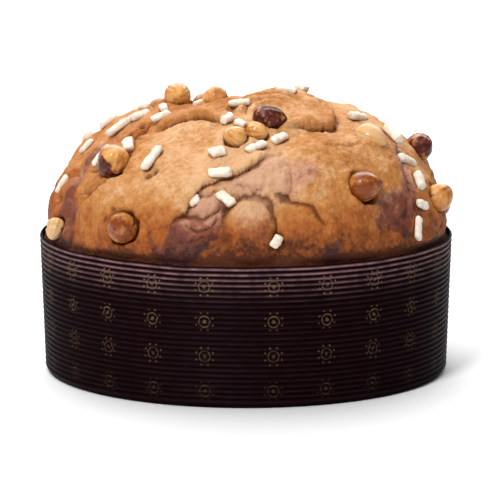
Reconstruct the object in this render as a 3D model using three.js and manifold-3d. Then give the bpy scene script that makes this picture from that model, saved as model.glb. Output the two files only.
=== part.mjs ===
// A low panettone of about one kilogram in its ribbed paper case: a domed loaf with folded crust,
// whole hazelnuts set in pockets of the crust, and grains of sugar baked onto it.
// Millimetres, +Z up. The origin is the middle of the case's foot, and the front looks along -Y.

import * as THREE from "three";
import { mergeVertices } from "three/addons/utils/BufferGeometryUtils.js";
import Module from "manifold-3d";

const wasm = await Module();
wasm.setup();

// Lengths are in millimetres and angles in degrees. A bearing turns round the loaf from its front
// towards +X. A climb goes up the dome, from 0 at the case's rim to 90 at the crown.
const CLEARANCE = 0.35;

const CASE = {
  height: 70,
  footRadius: 102.5,
  rimRadius: 105,
  footRound: 1.6,
  floor: 0.8,
  paper: 0.6,
  ribs: 26,
  ribDepth: 0.9,
  sides: 36,
};

const DOME = {
  radius: 101,
  rise: 70.5,
  lowestClimb: 0.4,
  freeClimb: 4,
  crowding: 1.12,
  rings: 22,
  sides: 64,
};

// Puffed lobes of dough. Reach is the radius of a lobe and rise is how far it stands out.
const LOBES = [
  { bearing: 4, climb: 35, reach: 17, rise: 4.5 },
  { bearing: 1, climb: 16, reach: 14, rise: 6 },
  { bearing: -30, climb: 32, reach: 58, rise: 3.5 },
  { bearing: -18, climb: 5, reach: 24, rise: 2.5 },
  { bearing: -76, climb: 14, reach: 16, rise: 2 },
  { bearing: -92, climb: 38, reach: 34, rise: 1.5 },
  { bearing: 33, climb: 70, reach: 28, rise: 3.5 },
  { bearing: 65, climb: 79, reach: 21, rise: 4.5 },
  { bearing: 26, climb: 8, reach: 26, rise: 4 },
  { bearing: 38, climb: 34, reach: 32, rise: 4 },
  { bearing: 68, climb: 15, reach: 27, rise: 4.5 },
  { bearing: 88, climb: 40, reach: 36, rise: 3.5 },
  { bearing: 112, climb: 12, reach: 24, rise: 4 },
  { bearing: 142, climb: 28, reach: 42, rise: 4 },
  { bearing: 170, climb: 9, reach: 22, rise: 4.5 },
  { bearing: 205, climb: 32, reach: 40, rise: 3.5 },
  { bearing: 236, climb: 12, reach: 26, rise: 4 },
  { bearing: 250, climb: 52, reach: 30, rise: 3 },
];

// Sunken places, each a smooth bowl.
const HOLLOWS = [
  { bearing: -12, climb: 15, reach: 13, depth: 3.5 },
  { bearing: -59, climb: 12, reach: 10, depth: 2.5 },
  { bearing: -140, climb: 80, reach: 26, depth: 5.5 },
  { bearing: 48, climb: 17, reach: 12, depth: 3 },
  { bearing: 124, climb: 48, reach: 16, depth: 3 },
  { bearing: 190, climb: 20, reach: 12, depth: 3 },
  { bearing: 222, climb: 62, reach: 18, depth: 2.5 },
];

// Folds and cracks of the crust, as routes of [bearing, climb]. The crust on the left hand of a
// route stands out as a lip, and along the route itself it sinks into a groove.
const FOLDS = [
  { lip: 2.2, groove: 2.5, route: [[-50, 54], [-46, 56], [-40, 59], [-35, 62], [-28, 63], [-20, 62], [-10, 58]] },
  { lip: 2, groove: 2, route: [[-24, 12], [-19, 20], [-15, 27], [-11, 32], [-3, 36], [3, 39], [13, 45]] },
  { lip: 0, groove: 2.5, route: [[-5, 6], [-7, 14], [-6, 22], [-3, 27], [2, 28], [7, 26], [9, 20], [9, 12], [7, 5]] },
  { lip: 0.5, groove: 2, route: [[7, 27], [13, 27], [20, 22], [23, 13]] },
  { lip: 2, groove: 1.5, route: [[-43, 32], [-47, 28], [-52, 24], [-60, 17]] },
  { lip: 1, groove: 2, route: [[-52, 45], [-54, 50], [-58, 56]] },
  { lip: 3, groove: 3, route: [[20, 58], [45, 56], [62, 62], [70, 72]] },
  { lip: 3, groove: 3, route: [[58, 4], [55, 22], [62, 34], [78, 44], [98, 56], [120, 62]] },
  { lip: 2.5, groove: 2.5, route: [[128, 6], [118, 20], [108, 30], [96, 34]] },
  { lip: 3, groove: 3, route: [[188, 5], [180, 18], [176, 34], [168, 50], [150, 62], [128, 70]] },
  { lip: 2.5, groove: 3, route: [[215, 8], [224, 24], [226, 40], [240, 56], [262, 64], [284, 60]] },
];
const FOLD_WIDTH = 4.5;
const LIP_WIDTH = 13;

// Slow unevenness of the whole crust: crossed waves, with their height and their length.
const WAVES = [
  { height: 1.2, length: 76, phase: 0.6 },
  { height: 0.8, length: 41, phase: 2.1 },
];

// Hazelnuts that the front shows, then those spread over the rest of the crust by a rule. Out is
// how far a nut's middle stands above the crust, and tip is where its point looks: 0 is along the
// rim to the right, 90 is up the dome, and lift raises the point off the crust.
const FRONT_NUTS = [
  { bearing: -50, climb: 35, width: 15.5, length: 18.5, out: 0.5, tip: 250, lift: -32 },
  { bearing: -36, climb: 12, width: 15, length: 15.5, out: 0, tip: 70, lift: 60 },
  { bearing: -68, climb: 6, width: 10, length: 11.5, out: 1, tip: 300, lift: 20 },
  { bearing: -85, climb: 70.5, width: 13.5, length: 15, out: 4.5, tip: 10, lift: 10 },
  { bearing: -66, climb: 80.5, width: 12.5, length: 14.5, out: 2.5, tip: 160, lift: 10 },
  { bearing: -4.5, climb: 50.5, width: 10.5, length: 11.5, out: 0.8, tip: 200, lift: 40 },
  { bearing: 5, climb: 54.5, width: 10, length: 11, out: 0, tip: 330, lift: 10 },
  { bearing: 13.5, climb: 62, width: 13, length: 16.5, out: -1.5, tip: 350, lift: 5 },
];
const SPREAD_NUTS = {
  count: 13,
  firstBearing: 34,
  lastBearing: 262,
  lowestHeight: 0.1,
  highestHeight: 0.8,
  turn: 0.618034,
  widths: [12.5, 15.5],
  longer: [1.05, 1.2],
  outs: [-1.5, 1.5],
};
const NUT = { sides: 9, rings: 6, point: 0.12, flat: 0.06 };

// Sugar grains, short blunt rods that the crust holds: those at the front, then the others.
const FRONT_GRAINS = [
  { bearing: -76.5, climb: 50, length: 14, width: 4, heading: 105 },
  { bearing: -76, climb: 57.5, length: 11, width: 4, heading: 73 },
  { bearing: -55.5, climb: 60, length: 10.5, width: 3.8, heading: 78 },
  { bearing: -70, climb: 64.5, length: 9, width: 3.6, heading: -12 },
  { bearing: -50.5, climb: 43.5, length: 9.5, width: 5, heading: -42 },
  { bearing: -62, climb: 37.5, length: 13, width: 3, heading: 98 },
  { bearing: -34.5, climb: 39, length: 14.5, width: 4, heading: 82 },
  { bearing: -10.5, climb: 43.5, length: 8, width: 4.6, heading: 20 },
  { bearing: -8.5, climb: 35, length: 11, width: 4.2, heading: 5 },
  { bearing: -15.5, climb: 24.8, length: 5.5, width: 3.8, heading: 40 },
  { bearing: -6, climb: 25.5, length: 10, width: 4.4, heading: -40 },
  { bearing: -10, climb: 60, length: 6.5, width: 4, heading: 55 },
  { bearing: -3, climb: 58.5, length: 6.5, width: 3.6, heading: -39 },
  { bearing: 4, climb: 47, length: 11.5, width: 3.8, heading: 34 },
  { bearing: 15.5, climb: 53, length: 10.5, width: 4, heading: 34 },
  { bearing: -5.5, climb: 71.5, length: 11, width: 3.4, heading: 18 },
  { bearing: 60, climb: 77, length: 10.5, width: 3.4, heading: -56 },
  { bearing: -70, climb: 75, length: 5, width: 3.2, heading: 100 },
  { bearing: -78, climb: 22, length: 11, width: 3.6, heading: 77 },
  { bearing: -89, climb: 37.5, length: 9, width: 3.2, heading: 130 },
  { bearing: 8.5, climb: 9.5, length: 6.5, width: 4.2, heading: 55 },
];
const SPREAD_GRAINS = {
  count: 26,
  firstBearing: 22,
  lastBearing: 268,
  lowestHeight: 0.1,
  highestHeight: 0.98,
  turn: 0.7548777,
  lengths: [6, 13],
  widths: [3.2, 4.8],
  headingTurn: 67,
  nutRoom: 5,
};
const GRAIN = { sides: 6, flatness: 0.8, sunk: 0.25 };

const COLOURS = {
  case: { color: 0x180f12, roughness: 0.5, metalness: 0 },
  crust: { color: 0xc98a55, roughness: 0.65, metalness: 0 },
  nut: { color: 0xb9712f, roughness: 0.4, metalness: 0 },
};

const radians = THREE.MathUtils.degToRad;
const between = ([low, high], share) => low + (high - low) * share;
const fraction = (value) => value - Math.floor(value);

// A repeatable number from 0 to 1 for the piece of that place in its row.
const scatter = (place, salt) => fraction(Math.sin(place * 12.9898 + salt * 78.233) * 43758.5453);

// The point of the plain dome at a bearing and a climb.
function domePoint(bearing, climb) {
  const across = DOME.radius * Math.cos(radians(climb));
  return new THREE.Vector3(
    across * Math.sin(radians(bearing)),
    -across * Math.cos(radians(bearing)),
    CASE.height + DOME.rise * Math.sin(radians(climb)),
  );
}

// The direction that the plain dome faces at one of its points.
function domeNormal(point) {
  const across = DOME.radius ** 2;
  const up = (point.z - CASE.height) / DOME.rise ** 2;
  return new THREE.Vector3(point.x / across, point.y / across, up).normalize();
}

// How far a lobe lifts a point: a ball that stands out of the dome.
function lobeHeight(lobe, point) {
  const share = point.distanceTo(domePoint(lobe.bearing, lobe.climb)) / lobe.reach;
  return lobe.rise * Math.sqrt(Math.max(0, 1 - share ** 2));
}

// How far a hollow lowers a point.
function hollowDepth(hollow, point) {
  const share = point.distanceTo(domePoint(hollow.bearing, hollow.climb)) / hollow.reach;
  return hollow.depth * Math.exp(-(share ** 2));
}

// How far a fold moves a point, from its distance to the route and the side that it lies on.
function foldHeight(fold, point, normal) {
  const stops = fold.route.map(([bearing, climb]) => domePoint(bearing, climb));
  let nearest = Infinity;
  let left = 0;
  for (let i = 1; i < stops.length; i += 1) {
    const stretch = new THREE.Line3(stops[i - 1], stops[i]);
    const foot = stretch.closestPointToPoint(point, true, new THREE.Vector3());
    const away = point.clone().sub(foot);
    if (away.length() >= nearest) continue;
    nearest = away.length();
    left = stretch.delta(new THREE.Vector3()).cross(away).dot(normal);
  }
  const groove = fold.groove * Math.exp(-((nearest / FOLD_WIDTH) ** 2));
  const lip = left > 0 ? fold.lip * Math.exp(-((nearest / LIP_WIDTH) ** 2)) : 0;
  return lip - groove;
}

function waveHeight(wave, point) {
  const turn = (2 * Math.PI) / wave.length;
  const crossed =
    Math.sin(turn * (point.x + 0.5 * point.z) + wave.phase) *
    Math.sin(turn * (point.y - 0.5 * point.z) + 2 * wave.phase);
  return wave.height * crossed;
}

// The crust's height above the plain dome. At the rim it fades to none, where the case holds it.
function relief(point, normal) {
  const climb = THREE.MathUtils.radToDeg(Math.asin(Math.min(1, (point.z - CASE.height) / DOME.rise)));
  const free = THREE.MathUtils.smoothstep(climb, 0, DOME.freeClimb);
  const lobes = LOBES.map((lobe) => lobeHeight(lobe, point));
  const hollows = HOLLOWS.map((hollow) => hollowDepth(hollow, point));
  const folds = FOLDS.map((fold) => foldHeight(fold, point, normal));
  const waves = WAVES.map((wave) => waveHeight(wave, point));
  const sum = (heights) => heights.reduce((total, height) => total + height, 0);
  return free * (Math.max(...lobes) - Math.max(...hollows) + sum(folds) + sum(waves));
}

// The point of the finished crust at a bearing and a climb, out by some extra height, with the
// directions along the rim, up the dome and away from the dome there.
function crustPlace(bearing, climb, extra) {
  const point = domePoint(bearing, climb);
  const out = domeNormal(point);
  const along = new THREE.Vector3(Math.cos(radians(bearing)), Math.sin(radians(bearing)), 0);
  const up = out.clone().cross(along).normalize();
  point.addScaledVector(out, relief(point, out) + extra);
  return { point, along, up, out };
}

// The radius of the case's paper at a height, on the ribs' crests.
const caseRadius = (z) => CASE.footRadius + ((CASE.rimRadius - CASE.footRadius) * z) / CASE.height;

// The radius of the case's smooth inside at a height.
const insideRadius = (z) => caseRadius(z) - CASE.ribDepth - CASE.paper;

function latheAroundZ(points, sides) {
  return new THREE.LatheGeometry(points, sides).rotateX(Math.PI / 2);
}

// A closed three.js geometry as a manifold-3d solid, without the flat triangles of its poles.
function solidOf(geometry) {
  const bare = geometry.clone();
  bare.deleteAttribute("normal");
  bare.deleteAttribute("uv");
  const merged = mergeVertices(bare, 1e-4);
  const corners = merged.index.array;
  const triVerts = [];
  for (let i = 0; i < corners.length; i += 3) {
    const [a, b, c] = corners.slice(i, i + 3);
    if (a !== b && b !== c && c !== a) triVerts.push(a, b, c);
  }
  const vertProperties = merged.attributes.position.array;
  return new wasm.Manifold(
    new wasm.Mesh({ numProp: 3, vertProperties, triVerts: new Uint32Array(triVerts) }),
  );
}

function geometryOf(solid) {
  const { vertProperties, triVerts } = solid.getMesh();
  const geometry = new THREE.BufferGeometry();
  geometry.setAttribute("position", new THREE.BufferAttribute(vertProperties, 3));
  geometry.setIndex(new THREE.BufferAttribute(triVerts, 1));
  geometry.computeVertexNormals();
  return geometry;
}

function namedMesh(name, geometry, finish) {
  const mesh = new THREE.Mesh(geometry, new THREE.MeshStandardMaterial(finish));
  mesh.name = name;
  return mesh;
}

// Paper case: a cup whose wall is pressed into level ribs, standing on a flat foot.
function makeCase() {
  const pitch = (CASE.height - CASE.footRound) / CASE.ribs;
  const profile = [new THREE.Vector2(0, 0)];
  profile.push(new THREE.Vector2(CASE.footRadius - CASE.footRound, 0));
  for (let rib = 0; rib < CASE.ribs; rib += 1) {
    const groove = CASE.footRound + rib * pitch;
    const crest = groove + pitch / 2;
    profile.push(new THREE.Vector2(caseRadius(groove) - CASE.ribDepth, groove));
    profile.push(new THREE.Vector2(caseRadius(crest), crest));
  }
  profile.push(new THREE.Vector2(insideRadius(CASE.height) + CASE.paper, CASE.height));
  profile.push(new THREE.Vector2(insideRadius(CASE.height), CASE.height));
  profile.push(new THREE.Vector2(insideRadius(CASE.floor), CASE.floor));
  profile.push(new THREE.Vector2(0, CASE.floor));
  return namedMesh("paper_case", latheAroundZ(profile, CASE.sides), COLOURS.case);
}

// The bare loaf: its straight side fills the case, clear of the middles of the case's flat sides,
// and its dome carries the relief of the crust.
function bareLoaf() {
  const bottom = CASE.floor + CLEARANCE;
  const narrowing = Math.cos(Math.PI / CASE.sides);
  const shoulder = CASE.height - 2;
  const profile = [new THREE.Vector2(0, bottom)];
  for (const z of [bottom, shoulder]) {
    profile.push(new THREE.Vector2(insideRadius(z) * narrowing - CLEARANCE, z));
  }
  for (let ring = 0; ring <= DOME.rings; ring += 1) {
    const share = (ring / DOME.rings) ** DOME.crowding;
    const climb = between([DOME.lowestClimb, 90], share);
    const { x, z } = domePoint(90, climb);
    profile.push(new THREE.Vector2(ring === DOME.rings ? 0 : x, z));
  }
  const geometry = latheAroundZ(profile, DOME.sides);
  const places = geometry.attributes.position;
  const point = new THREE.Vector3();
  for (let i = 0; i < places.count; i += 1) {
    point.fromBufferAttribute(places, i);
    if (point.z <= CASE.height) continue;
    const out = domeNormal(point);
    point.addScaledVector(out, relief(point, out));
    places.setXYZ(i, point.x, point.y, point.z);
  }
  return geometry;
}

// Nuts or grains spread over the crust that the front doesn't show: the height in the dome rises
// from one to the next, and the bearing jumps by a share of the free arc, so none crowd together.
function spreadPlaces(rule) {
  return Array.from({ length: rule.count }, (_, place) => {
    const height = between([rule.lowestHeight, rule.highestHeight], (place + 0.5) / rule.count);
    return {
      place,
      bearing: between([rule.firstBearing, rule.lastBearing], fraction((place + 0.5) * rule.turn)),
      climb: THREE.MathUtils.radToDeg(Math.asin(height)),
    };
  });
}

function spreadNuts() {
  return spreadPlaces(SPREAD_NUTS).map(({ place, bearing, climb }) => {
    const width = between(SPREAD_NUTS.widths, scatter(place, 1));
    return {
      bearing,
      climb,
      width,
      length: width * between(SPREAD_NUTS.longer, scatter(place, 2)),
      out: between(SPREAD_NUTS.outs, scatter(place, 3)),
      tip: 360 * scatter(place, 4),
      lift: 40 * scatter(place, 5),
    };
  });
}

// A hazelnut one unit wide and one unit long along Z: round, drawn to a point at its top and a
// little flat at its foot.
function nutShape() {
  const profile = Array.from({ length: NUT.rings + 1 }, (_, ring) => {
    const turn = (Math.PI * ring) / NUT.rings;
    const radius = 0.5 * Math.sin(turn) * (1 + NUT.point * Math.cos(turn));
    const height = -0.5 * Math.cos(turn) * (1 - NUT.flat * Math.cos(turn));
    return new THREE.Vector2(ring % NUT.rings ? radius : 0, height);
  });
  return latheAroundZ(profile, NUT.sides);
}

function makeNut(nut, index) {
  const name = "hazelnut_" + String(index + 1).padStart(2, "0");
  const mesh = namedMesh(name, nutShape(), COLOURS.nut);
  const { point, along, up, out } = crustPlace(nut.bearing, nut.climb, nut.out);
  const tip = new THREE.Vector3()
    .addScaledVector(along, Math.cos(radians(nut.tip)))
    .addScaledVector(up, Math.sin(radians(nut.tip)))
    .multiplyScalar(Math.cos(radians(nut.lift)))
    .addScaledVector(out, Math.sin(radians(nut.lift)));
  mesh.position.copy(point);
  mesh.quaternion.setFromUnitVectors(new THREE.Vector3(0, 0, 1), tip);
  mesh.scale.set(nut.width, nut.width, nut.length);
  return mesh;
}

// The room that a nut takes in the crust: the nut, larger all round by the clearance.
function pocketSolid(nut) {
  const grown = nut.clone();
  grown.scale.addScalar(2 * CLEARANCE);
  grown.updateMatrixWorld(true);
  return solidOf(nutShape().applyMatrix4(grown.matrixWorld));
}

function spreadGrains(nuts) {
  const rule = SPREAD_GRAINS;
  const grains = spreadPlaces(rule).map(({ place, bearing, climb }) => ({
    bearing,
    climb,
    length: between(rule.lengths, scatter(place, 6)),
    width: between(rule.widths, scatter(place, 7)),
    heading: place * rule.headingTurn,
  }));
  return grains.filter((grain) => {
    const { point } = crustPlace(grain.bearing, grain.climb, 0);
    return nuts.every((nut) => nut.position.distanceTo(point) > nut.scale.x / 2 + rule.nutRoom);
  });
}

// A grain lies along the crust, a little sunk in it.
function grainSolid(grain) {
  const lift = grain.width * (0.5 * GRAIN.flatness - GRAIN.sunk);
  const { point, along, up, out } = crustPlace(grain.bearing, grain.climb, lift);
  const course = new THREE.Vector3()
    .addScaledVector(along, Math.cos(radians(grain.heading)))
    .addScaledVector(up, Math.sin(radians(grain.heading)));
  const across = course.clone().cross(out);
  const radius = grain.width / 2;
  const rod = new THREE.CylinderGeometry(radius, radius, grain.length, GRAIN.sides);
  rod.scale(1, 1, GRAIN.flatness);
  rod.applyMatrix4(new THREE.Matrix4().makeBasis(across, course, out).setPosition(point));
  return solidOf(rod);
}

// The loaf: the bare dome with the grains joined on and a pocket cut for each nut. What a cut
// leaves loose is dropped.
function makeLoaf(nuts) {
  let loaf = solidOf(bareLoaf());
  for (const grain of [...FRONT_GRAINS, ...spreadGrains(nuts)]) {
    loaf = loaf.add(grainSolid(grain));
  }
  for (const nut of nuts) {
    loaf = loaf.subtract(pocketSolid(nut));
  }
  const [largest] = loaf.decompose().sort((a, b) => b.volume() - a.volume());
  return namedMesh("loaf", geometryOf(largest), COLOURS.crust);
}

const panettone = new THREE.Group();
const nuts = [...FRONT_NUTS, ...spreadNuts()].map(makeNut);
panettone.add(makeCase(), makeLoaf(nuts), ...nuts);

export default panettone;
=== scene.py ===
"""The finished look of a low panettone in its ribbed paper case.

Lengths here are millimetres and angles are degrees, and a mesh is scaled to metres as it is made.
A bearing turns round the loaf from its front, where -Y is, towards +X. A climb goes up the dome,
from 0 at the case's rim to 90 at the crown. The plain dome is half an ellipsoid, and all that
stands out of it or sinks into it is a height measured along the plain dome's outward direction.
"""

from __future__ import annotations

import logging
from dataclasses import dataclass, field
from enum import Enum, IntEnum
from typing import ClassVar, NamedTuple

import bpy
import numpy as np
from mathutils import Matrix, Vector
from numpy.typing import NDArray

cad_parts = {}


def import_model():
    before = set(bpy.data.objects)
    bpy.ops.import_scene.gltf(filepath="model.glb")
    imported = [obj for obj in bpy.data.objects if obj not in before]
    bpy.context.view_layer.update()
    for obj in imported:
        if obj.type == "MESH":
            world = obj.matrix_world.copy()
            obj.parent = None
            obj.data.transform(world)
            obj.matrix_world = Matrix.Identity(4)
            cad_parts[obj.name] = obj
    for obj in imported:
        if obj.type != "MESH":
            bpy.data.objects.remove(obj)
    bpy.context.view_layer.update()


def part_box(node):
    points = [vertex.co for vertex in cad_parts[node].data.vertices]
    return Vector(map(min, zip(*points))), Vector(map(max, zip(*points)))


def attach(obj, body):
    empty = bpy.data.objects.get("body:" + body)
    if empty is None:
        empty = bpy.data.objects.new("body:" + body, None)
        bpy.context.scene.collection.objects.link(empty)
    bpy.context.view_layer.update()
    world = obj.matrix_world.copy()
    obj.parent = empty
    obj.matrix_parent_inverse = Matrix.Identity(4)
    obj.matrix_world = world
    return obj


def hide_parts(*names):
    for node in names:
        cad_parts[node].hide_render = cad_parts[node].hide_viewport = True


LOG = logging.getLogger("panettone")
Array = NDArray[np.float64]
Colour = tuple[float, float, float]
Place = tuple[float, float, float]
Limits = tuple[float, float]

MM = 0.001
FULL_TURN = 2 * np.pi
TINY = 1e-9
PLACE_TURN = 12.9898
DRAW_TURN = 78.233
SCATTER_SIZE = 43758.5453


def unit(vectors: Array) -> Array:
    """Vectors scaled to length one along their last axis."""
    length = np.linalg.norm(vectors, axis=-1, keepdims=True)
    return vectors / np.maximum(length, TINY)


def smooth(low: float | Array, high: float | Array, values: Array) -> Array:
    """The smooth step from 0 at low to 1 at high, 3s^2 - 2s^3, which may also run downwards."""
    share = np.clip((values - low) / (high - low), 0, 1)
    return share**2 * (3 - 2 * share)


def bell(values: Array, width: float | Array) -> Array:
    """The bell curve exp(-(v / width)^2), 1 where the values are 0."""
    return np.exp(-((values / width) ** 2))


class Draw(IntEnum):
    """What a repeatable number is drawn for."""

    NUT_WIDTH = 1
    NUT_LENGTH = 2
    NUT_TIP = 4
    NUT_LIFT = 5
    GRAIN_LENGTH = 6
    GRAIN_WIDTH = 7
    GRAIN_BEND = 9


def scatter(place: int, draw: Draw) -> float:
    """A repeatable number from 0 to 1: what is left over of a large multiple of a sine."""
    value = np.sin(place * PLACE_TURN + draw * DRAW_TURN) * SCATTER_SIZE
    return float(value - np.floor(value))


def between(limits: Limits, share: Array | float) -> Array | float:
    """The value at a share of the way from the first limit to the second."""
    return limits[0] + (limits[1] - limits[0]) * share


class Noise:
    """Smooth gradient noise in space, worked out on whole arrays and the same on each run."""

    side = 256
    gain = 1.6
    layer_shift = 31.7
    axis_shift = 57.3

    def __init__(self, seed: int) -> None:
        """Draw the lattice's shuffled places and its gradients from a seed."""
        draw = np.random.default_rng(seed)
        self.places = draw.permutation(self.side)
        self.gradients = unit(draw.normal(size=(self.side, 3)))

    def at(self, points: Array, size: float) -> Array:
        """Read the noise at points.

        Each lattice corner round a point gives the dot product of its gradient with the way to
        the point, and the eight are blended with the fade 6t^5 - 15t^4 + 10t^3.

        Args:
            points: places in millimetres, three to a row.
            size: the side of a lattice cell, about half of the noise's wavelength.

        Returns:
            Values of about -1 to 1.
        """
        scaled = points / size
        cell = np.floor(scaled).astype(int)
        inside = scaled - cell
        fade = inside**3 * (inside * (inside * 6 - 15) + 10)
        total = np.zeros(len(points))
        last = self.side - 1
        for corner in np.ndindex(2, 2, 2):
            x, y, z = ((cell + corner) & last).T
            which = self.places[(self.places[(self.places[x] + y) & last] + z) & last]
            pull = np.einsum("ij,ij->i", self.gradients[which], inside - corner)
            weight = np.where(np.array(corner) == 1, fade, 1 - fade).prod(axis=1)
            total += pull * weight
        return self.gain * total

    def layered(self, points: Array, size: float, layers: int) -> Array:
        """Noise added up over layers, each half as large and half as high as the one before."""
        shifts = self.layer_shift * np.arange(layers)
        return sum(self.at(points + shift, size / 2**k) / 2**k for k, shift in enumerate(shifts))

    def warp(self, points: Array, size: float, reach: float) -> Array:
        """Points moved by noise along each axis, by up to about the reach."""
        moves = [self.layered(points + self.axis_shift * axis, size, 2) for axis in range(3)]
        return points + reach * np.stack(moves, axis=1)


@dataclass(frozen=True)
class Unevenness:
    """A layer of noise: its height, the size of its lumps and where in the noise it is read."""

    height: float
    size: float
    layers: int
    shift: float = 0.0

    def read(self, noise: Noise, points: Array) -> Array:
        """The noise's values at points, times the height."""
        return self.height * noise.layered(points + self.shift, self.size, self.layers)


@dataclass(frozen=True)
class Bend:
    """How noise moves points sideways: the size of its waves and how far it moves them."""

    size: float
    reach: float

    def move(self, noise: Noise, points: Array) -> Array:
        """The moved points."""
        return noise.warp(points, self.size, self.reach)


@dataclass(frozen=True)
class Seat:
    """A place on the dome with the directions along the rim, up the dome and out of it."""

    point: Array
    along: Array
    up: Array
    out: Array

    def towards(self, heading: float, lift: float = 0) -> Array:
        """The direction at a heading, 0 along the rim and 90 up the dome, lifted off the crust."""
        turn, raised = np.radians([heading, lift])
        flat = self.along * np.cos(turn) + self.up * np.sin(turn)
        return flat * np.cos(raised) + self.out * np.sin(raised)


@dataclass(frozen=True)
class Dome:
    """The plain dome, half an ellipsoid that stands on the level of the case's rim."""

    radius: float = 101.0
    rise: float = 70.5
    rim: float = 70.0

    def point(self, bearing: Array | float, climb: Array | float) -> Array:
        """The ellipsoid's points at bearings and climbs, by sines and cosines of both."""
        turn, climb = np.radians(bearing), np.radians(climb)
        across = self.radius * np.cos(climb)
        height = self.rim + self.rise * np.sin(climb)
        parts = np.broadcast_arrays(across * np.sin(turn), -across * np.cos(turn), height)
        return np.stack(parts, axis=-1)

    def outward(self, points: Array) -> Array:
        """The direction that the ellipsoid faces: each coordinate over its radius squared."""
        middle = np.array([0, 0, self.rim])
        return unit((points - middle) / np.array([self.radius, self.radius, self.rise]) ** 2)

    def climb(self, points: Array) -> Array:
        """The climb in degrees of points on the dome, from their height over the rim."""
        return np.degrees(np.arcsin(np.clip((points[..., 2] - self.rim) / self.rise, 0, 1)))

    def seat(self, bearing: float, climb: float) -> Seat:
        """The seat at one bearing and climb."""
        point = self.point(bearing, climb)
        out = self.outward(point)
        turn = np.radians(bearing)
        along = np.array([np.cos(turn), np.sin(turn), 0])
        return Seat(point, along, unit(np.cross(out, along)), out)


class Edge(Enum):
    """How a lobe meets the crust: by the power of its profile."""

    CRISP = 0.5
    SOFT = 1.0


@dataclass(frozen=True)
class Lobe:
    """A puffed lobe of dough, of a reach across the crust and a rise out of it."""

    bearing: float
    climb: float
    reach: float
    rise: float
    edge: Edge = Edge.CRISP

    def height(self, dome: Dome, points: Array) -> Array:
        """The rise times 1 - (distance / reach)^2, to the power of the edge."""
        away = np.linalg.norm(points - dome.point(self.bearing, self.climb), axis=1)
        return self.rise * np.clip(1 - (away / self.reach) ** 2, 0, 1) ** self.edge.value


@dataclass(frozen=True)
class Spot:
    """A round place on the crust with a soft edge, such as a hollow or a patch of cocoa dough."""

    bearing: float
    climb: float
    reach: float
    depth: float = 1.0

    def share(self, dome: Dome, points: Array) -> Array:
        """A bell curve of the distance to the middle, 1 at the middle."""
        away = np.linalg.norm(points - dome.point(self.bearing, self.climb), axis=1)
        return bell(away, self.reach)


@dataclass(frozen=True)
class Trace:
    """Where points lie beside a route.

    The distance is positive on the route's left, which is also given as a direction, and the
    taper falls to 0 towards its ends.
    """

    beside: Array
    left: Array
    taper: Array


@dataclass(frozen=True)
class Route:
    """A line on the dome through stops of [bearing, climb], rounded between them."""

    stops: tuple[tuple[float, float], ...]
    taper: ClassVar[Limits] = (-0.05, 0.2)

    def line(self, dome: Dome, steps: int = 4) -> Array:
        """The Catmull-Rom curve through the stops, with a few points between each two."""
        bearing, climb = np.array(self.stops, float).T
        stops = dome.point(bearing, climb)
        held = np.vstack([2 * stops[:1] - stops[1:2], stops, 2 * stops[-1:] - stops[-2:-1]])
        share = (np.arange(steps) / steps)[:, None]
        parts = []
        for a, b, c, d in zip(held[:-3], held[1:-2], held[2:-1], held[3:]):
            curve = 2 * b + (c - a) * share + (2 * a - 5 * b + 4 * c - d) * share**2
            parts.append((curve + (3 * b - a - 3 * c + d) * share**3) / 2)
        return np.vstack([*parts, stops[-1:]])

    def trace(self, dome: Dome, points: Array, out: Array) -> Trace:
        """Find the nearest stretch of the route for each point.

        Args:
            dome: the plain dome that the route lies on.
            points: places on the dome.
            out: the directions out of the dome there.

        Returns:
            The signed distance, the direction to the route's left, and a taper that falls to 0
            over the last fifth of the route at each end.
        """
        line = self.line(dome)
        nearest = np.full(len(points), np.inf)
        side = np.ones(len(points))
        course = np.zeros_like(points)
        place = np.zeros(len(points))
        for index, (start, end) in enumerate(zip(line[:-1], line[1:])):
            step = end - start
            share = np.clip((points - start) @ step / (step @ step), 0, 1)
            away = points - start - share[:, None] * step
            distance = np.linalg.norm(away, axis=1)
            near = distance < nearest
            nearest = np.where(near, distance, nearest)
            turned = np.einsum("ij,ij->i", np.cross(step, away), out)
            side = np.where(near, np.where(turned > 0, 1.0, -1.0), side)
            course = np.where(near[:, None], step, course)
            place = np.where(near, index + share, place)
        ends = np.minimum(place, len(line) - 1 - place) / (len(line) - 1)
        return Trace(nearest * side, unit(np.cross(out, course)), smooth(*self.taper, ends))


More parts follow.
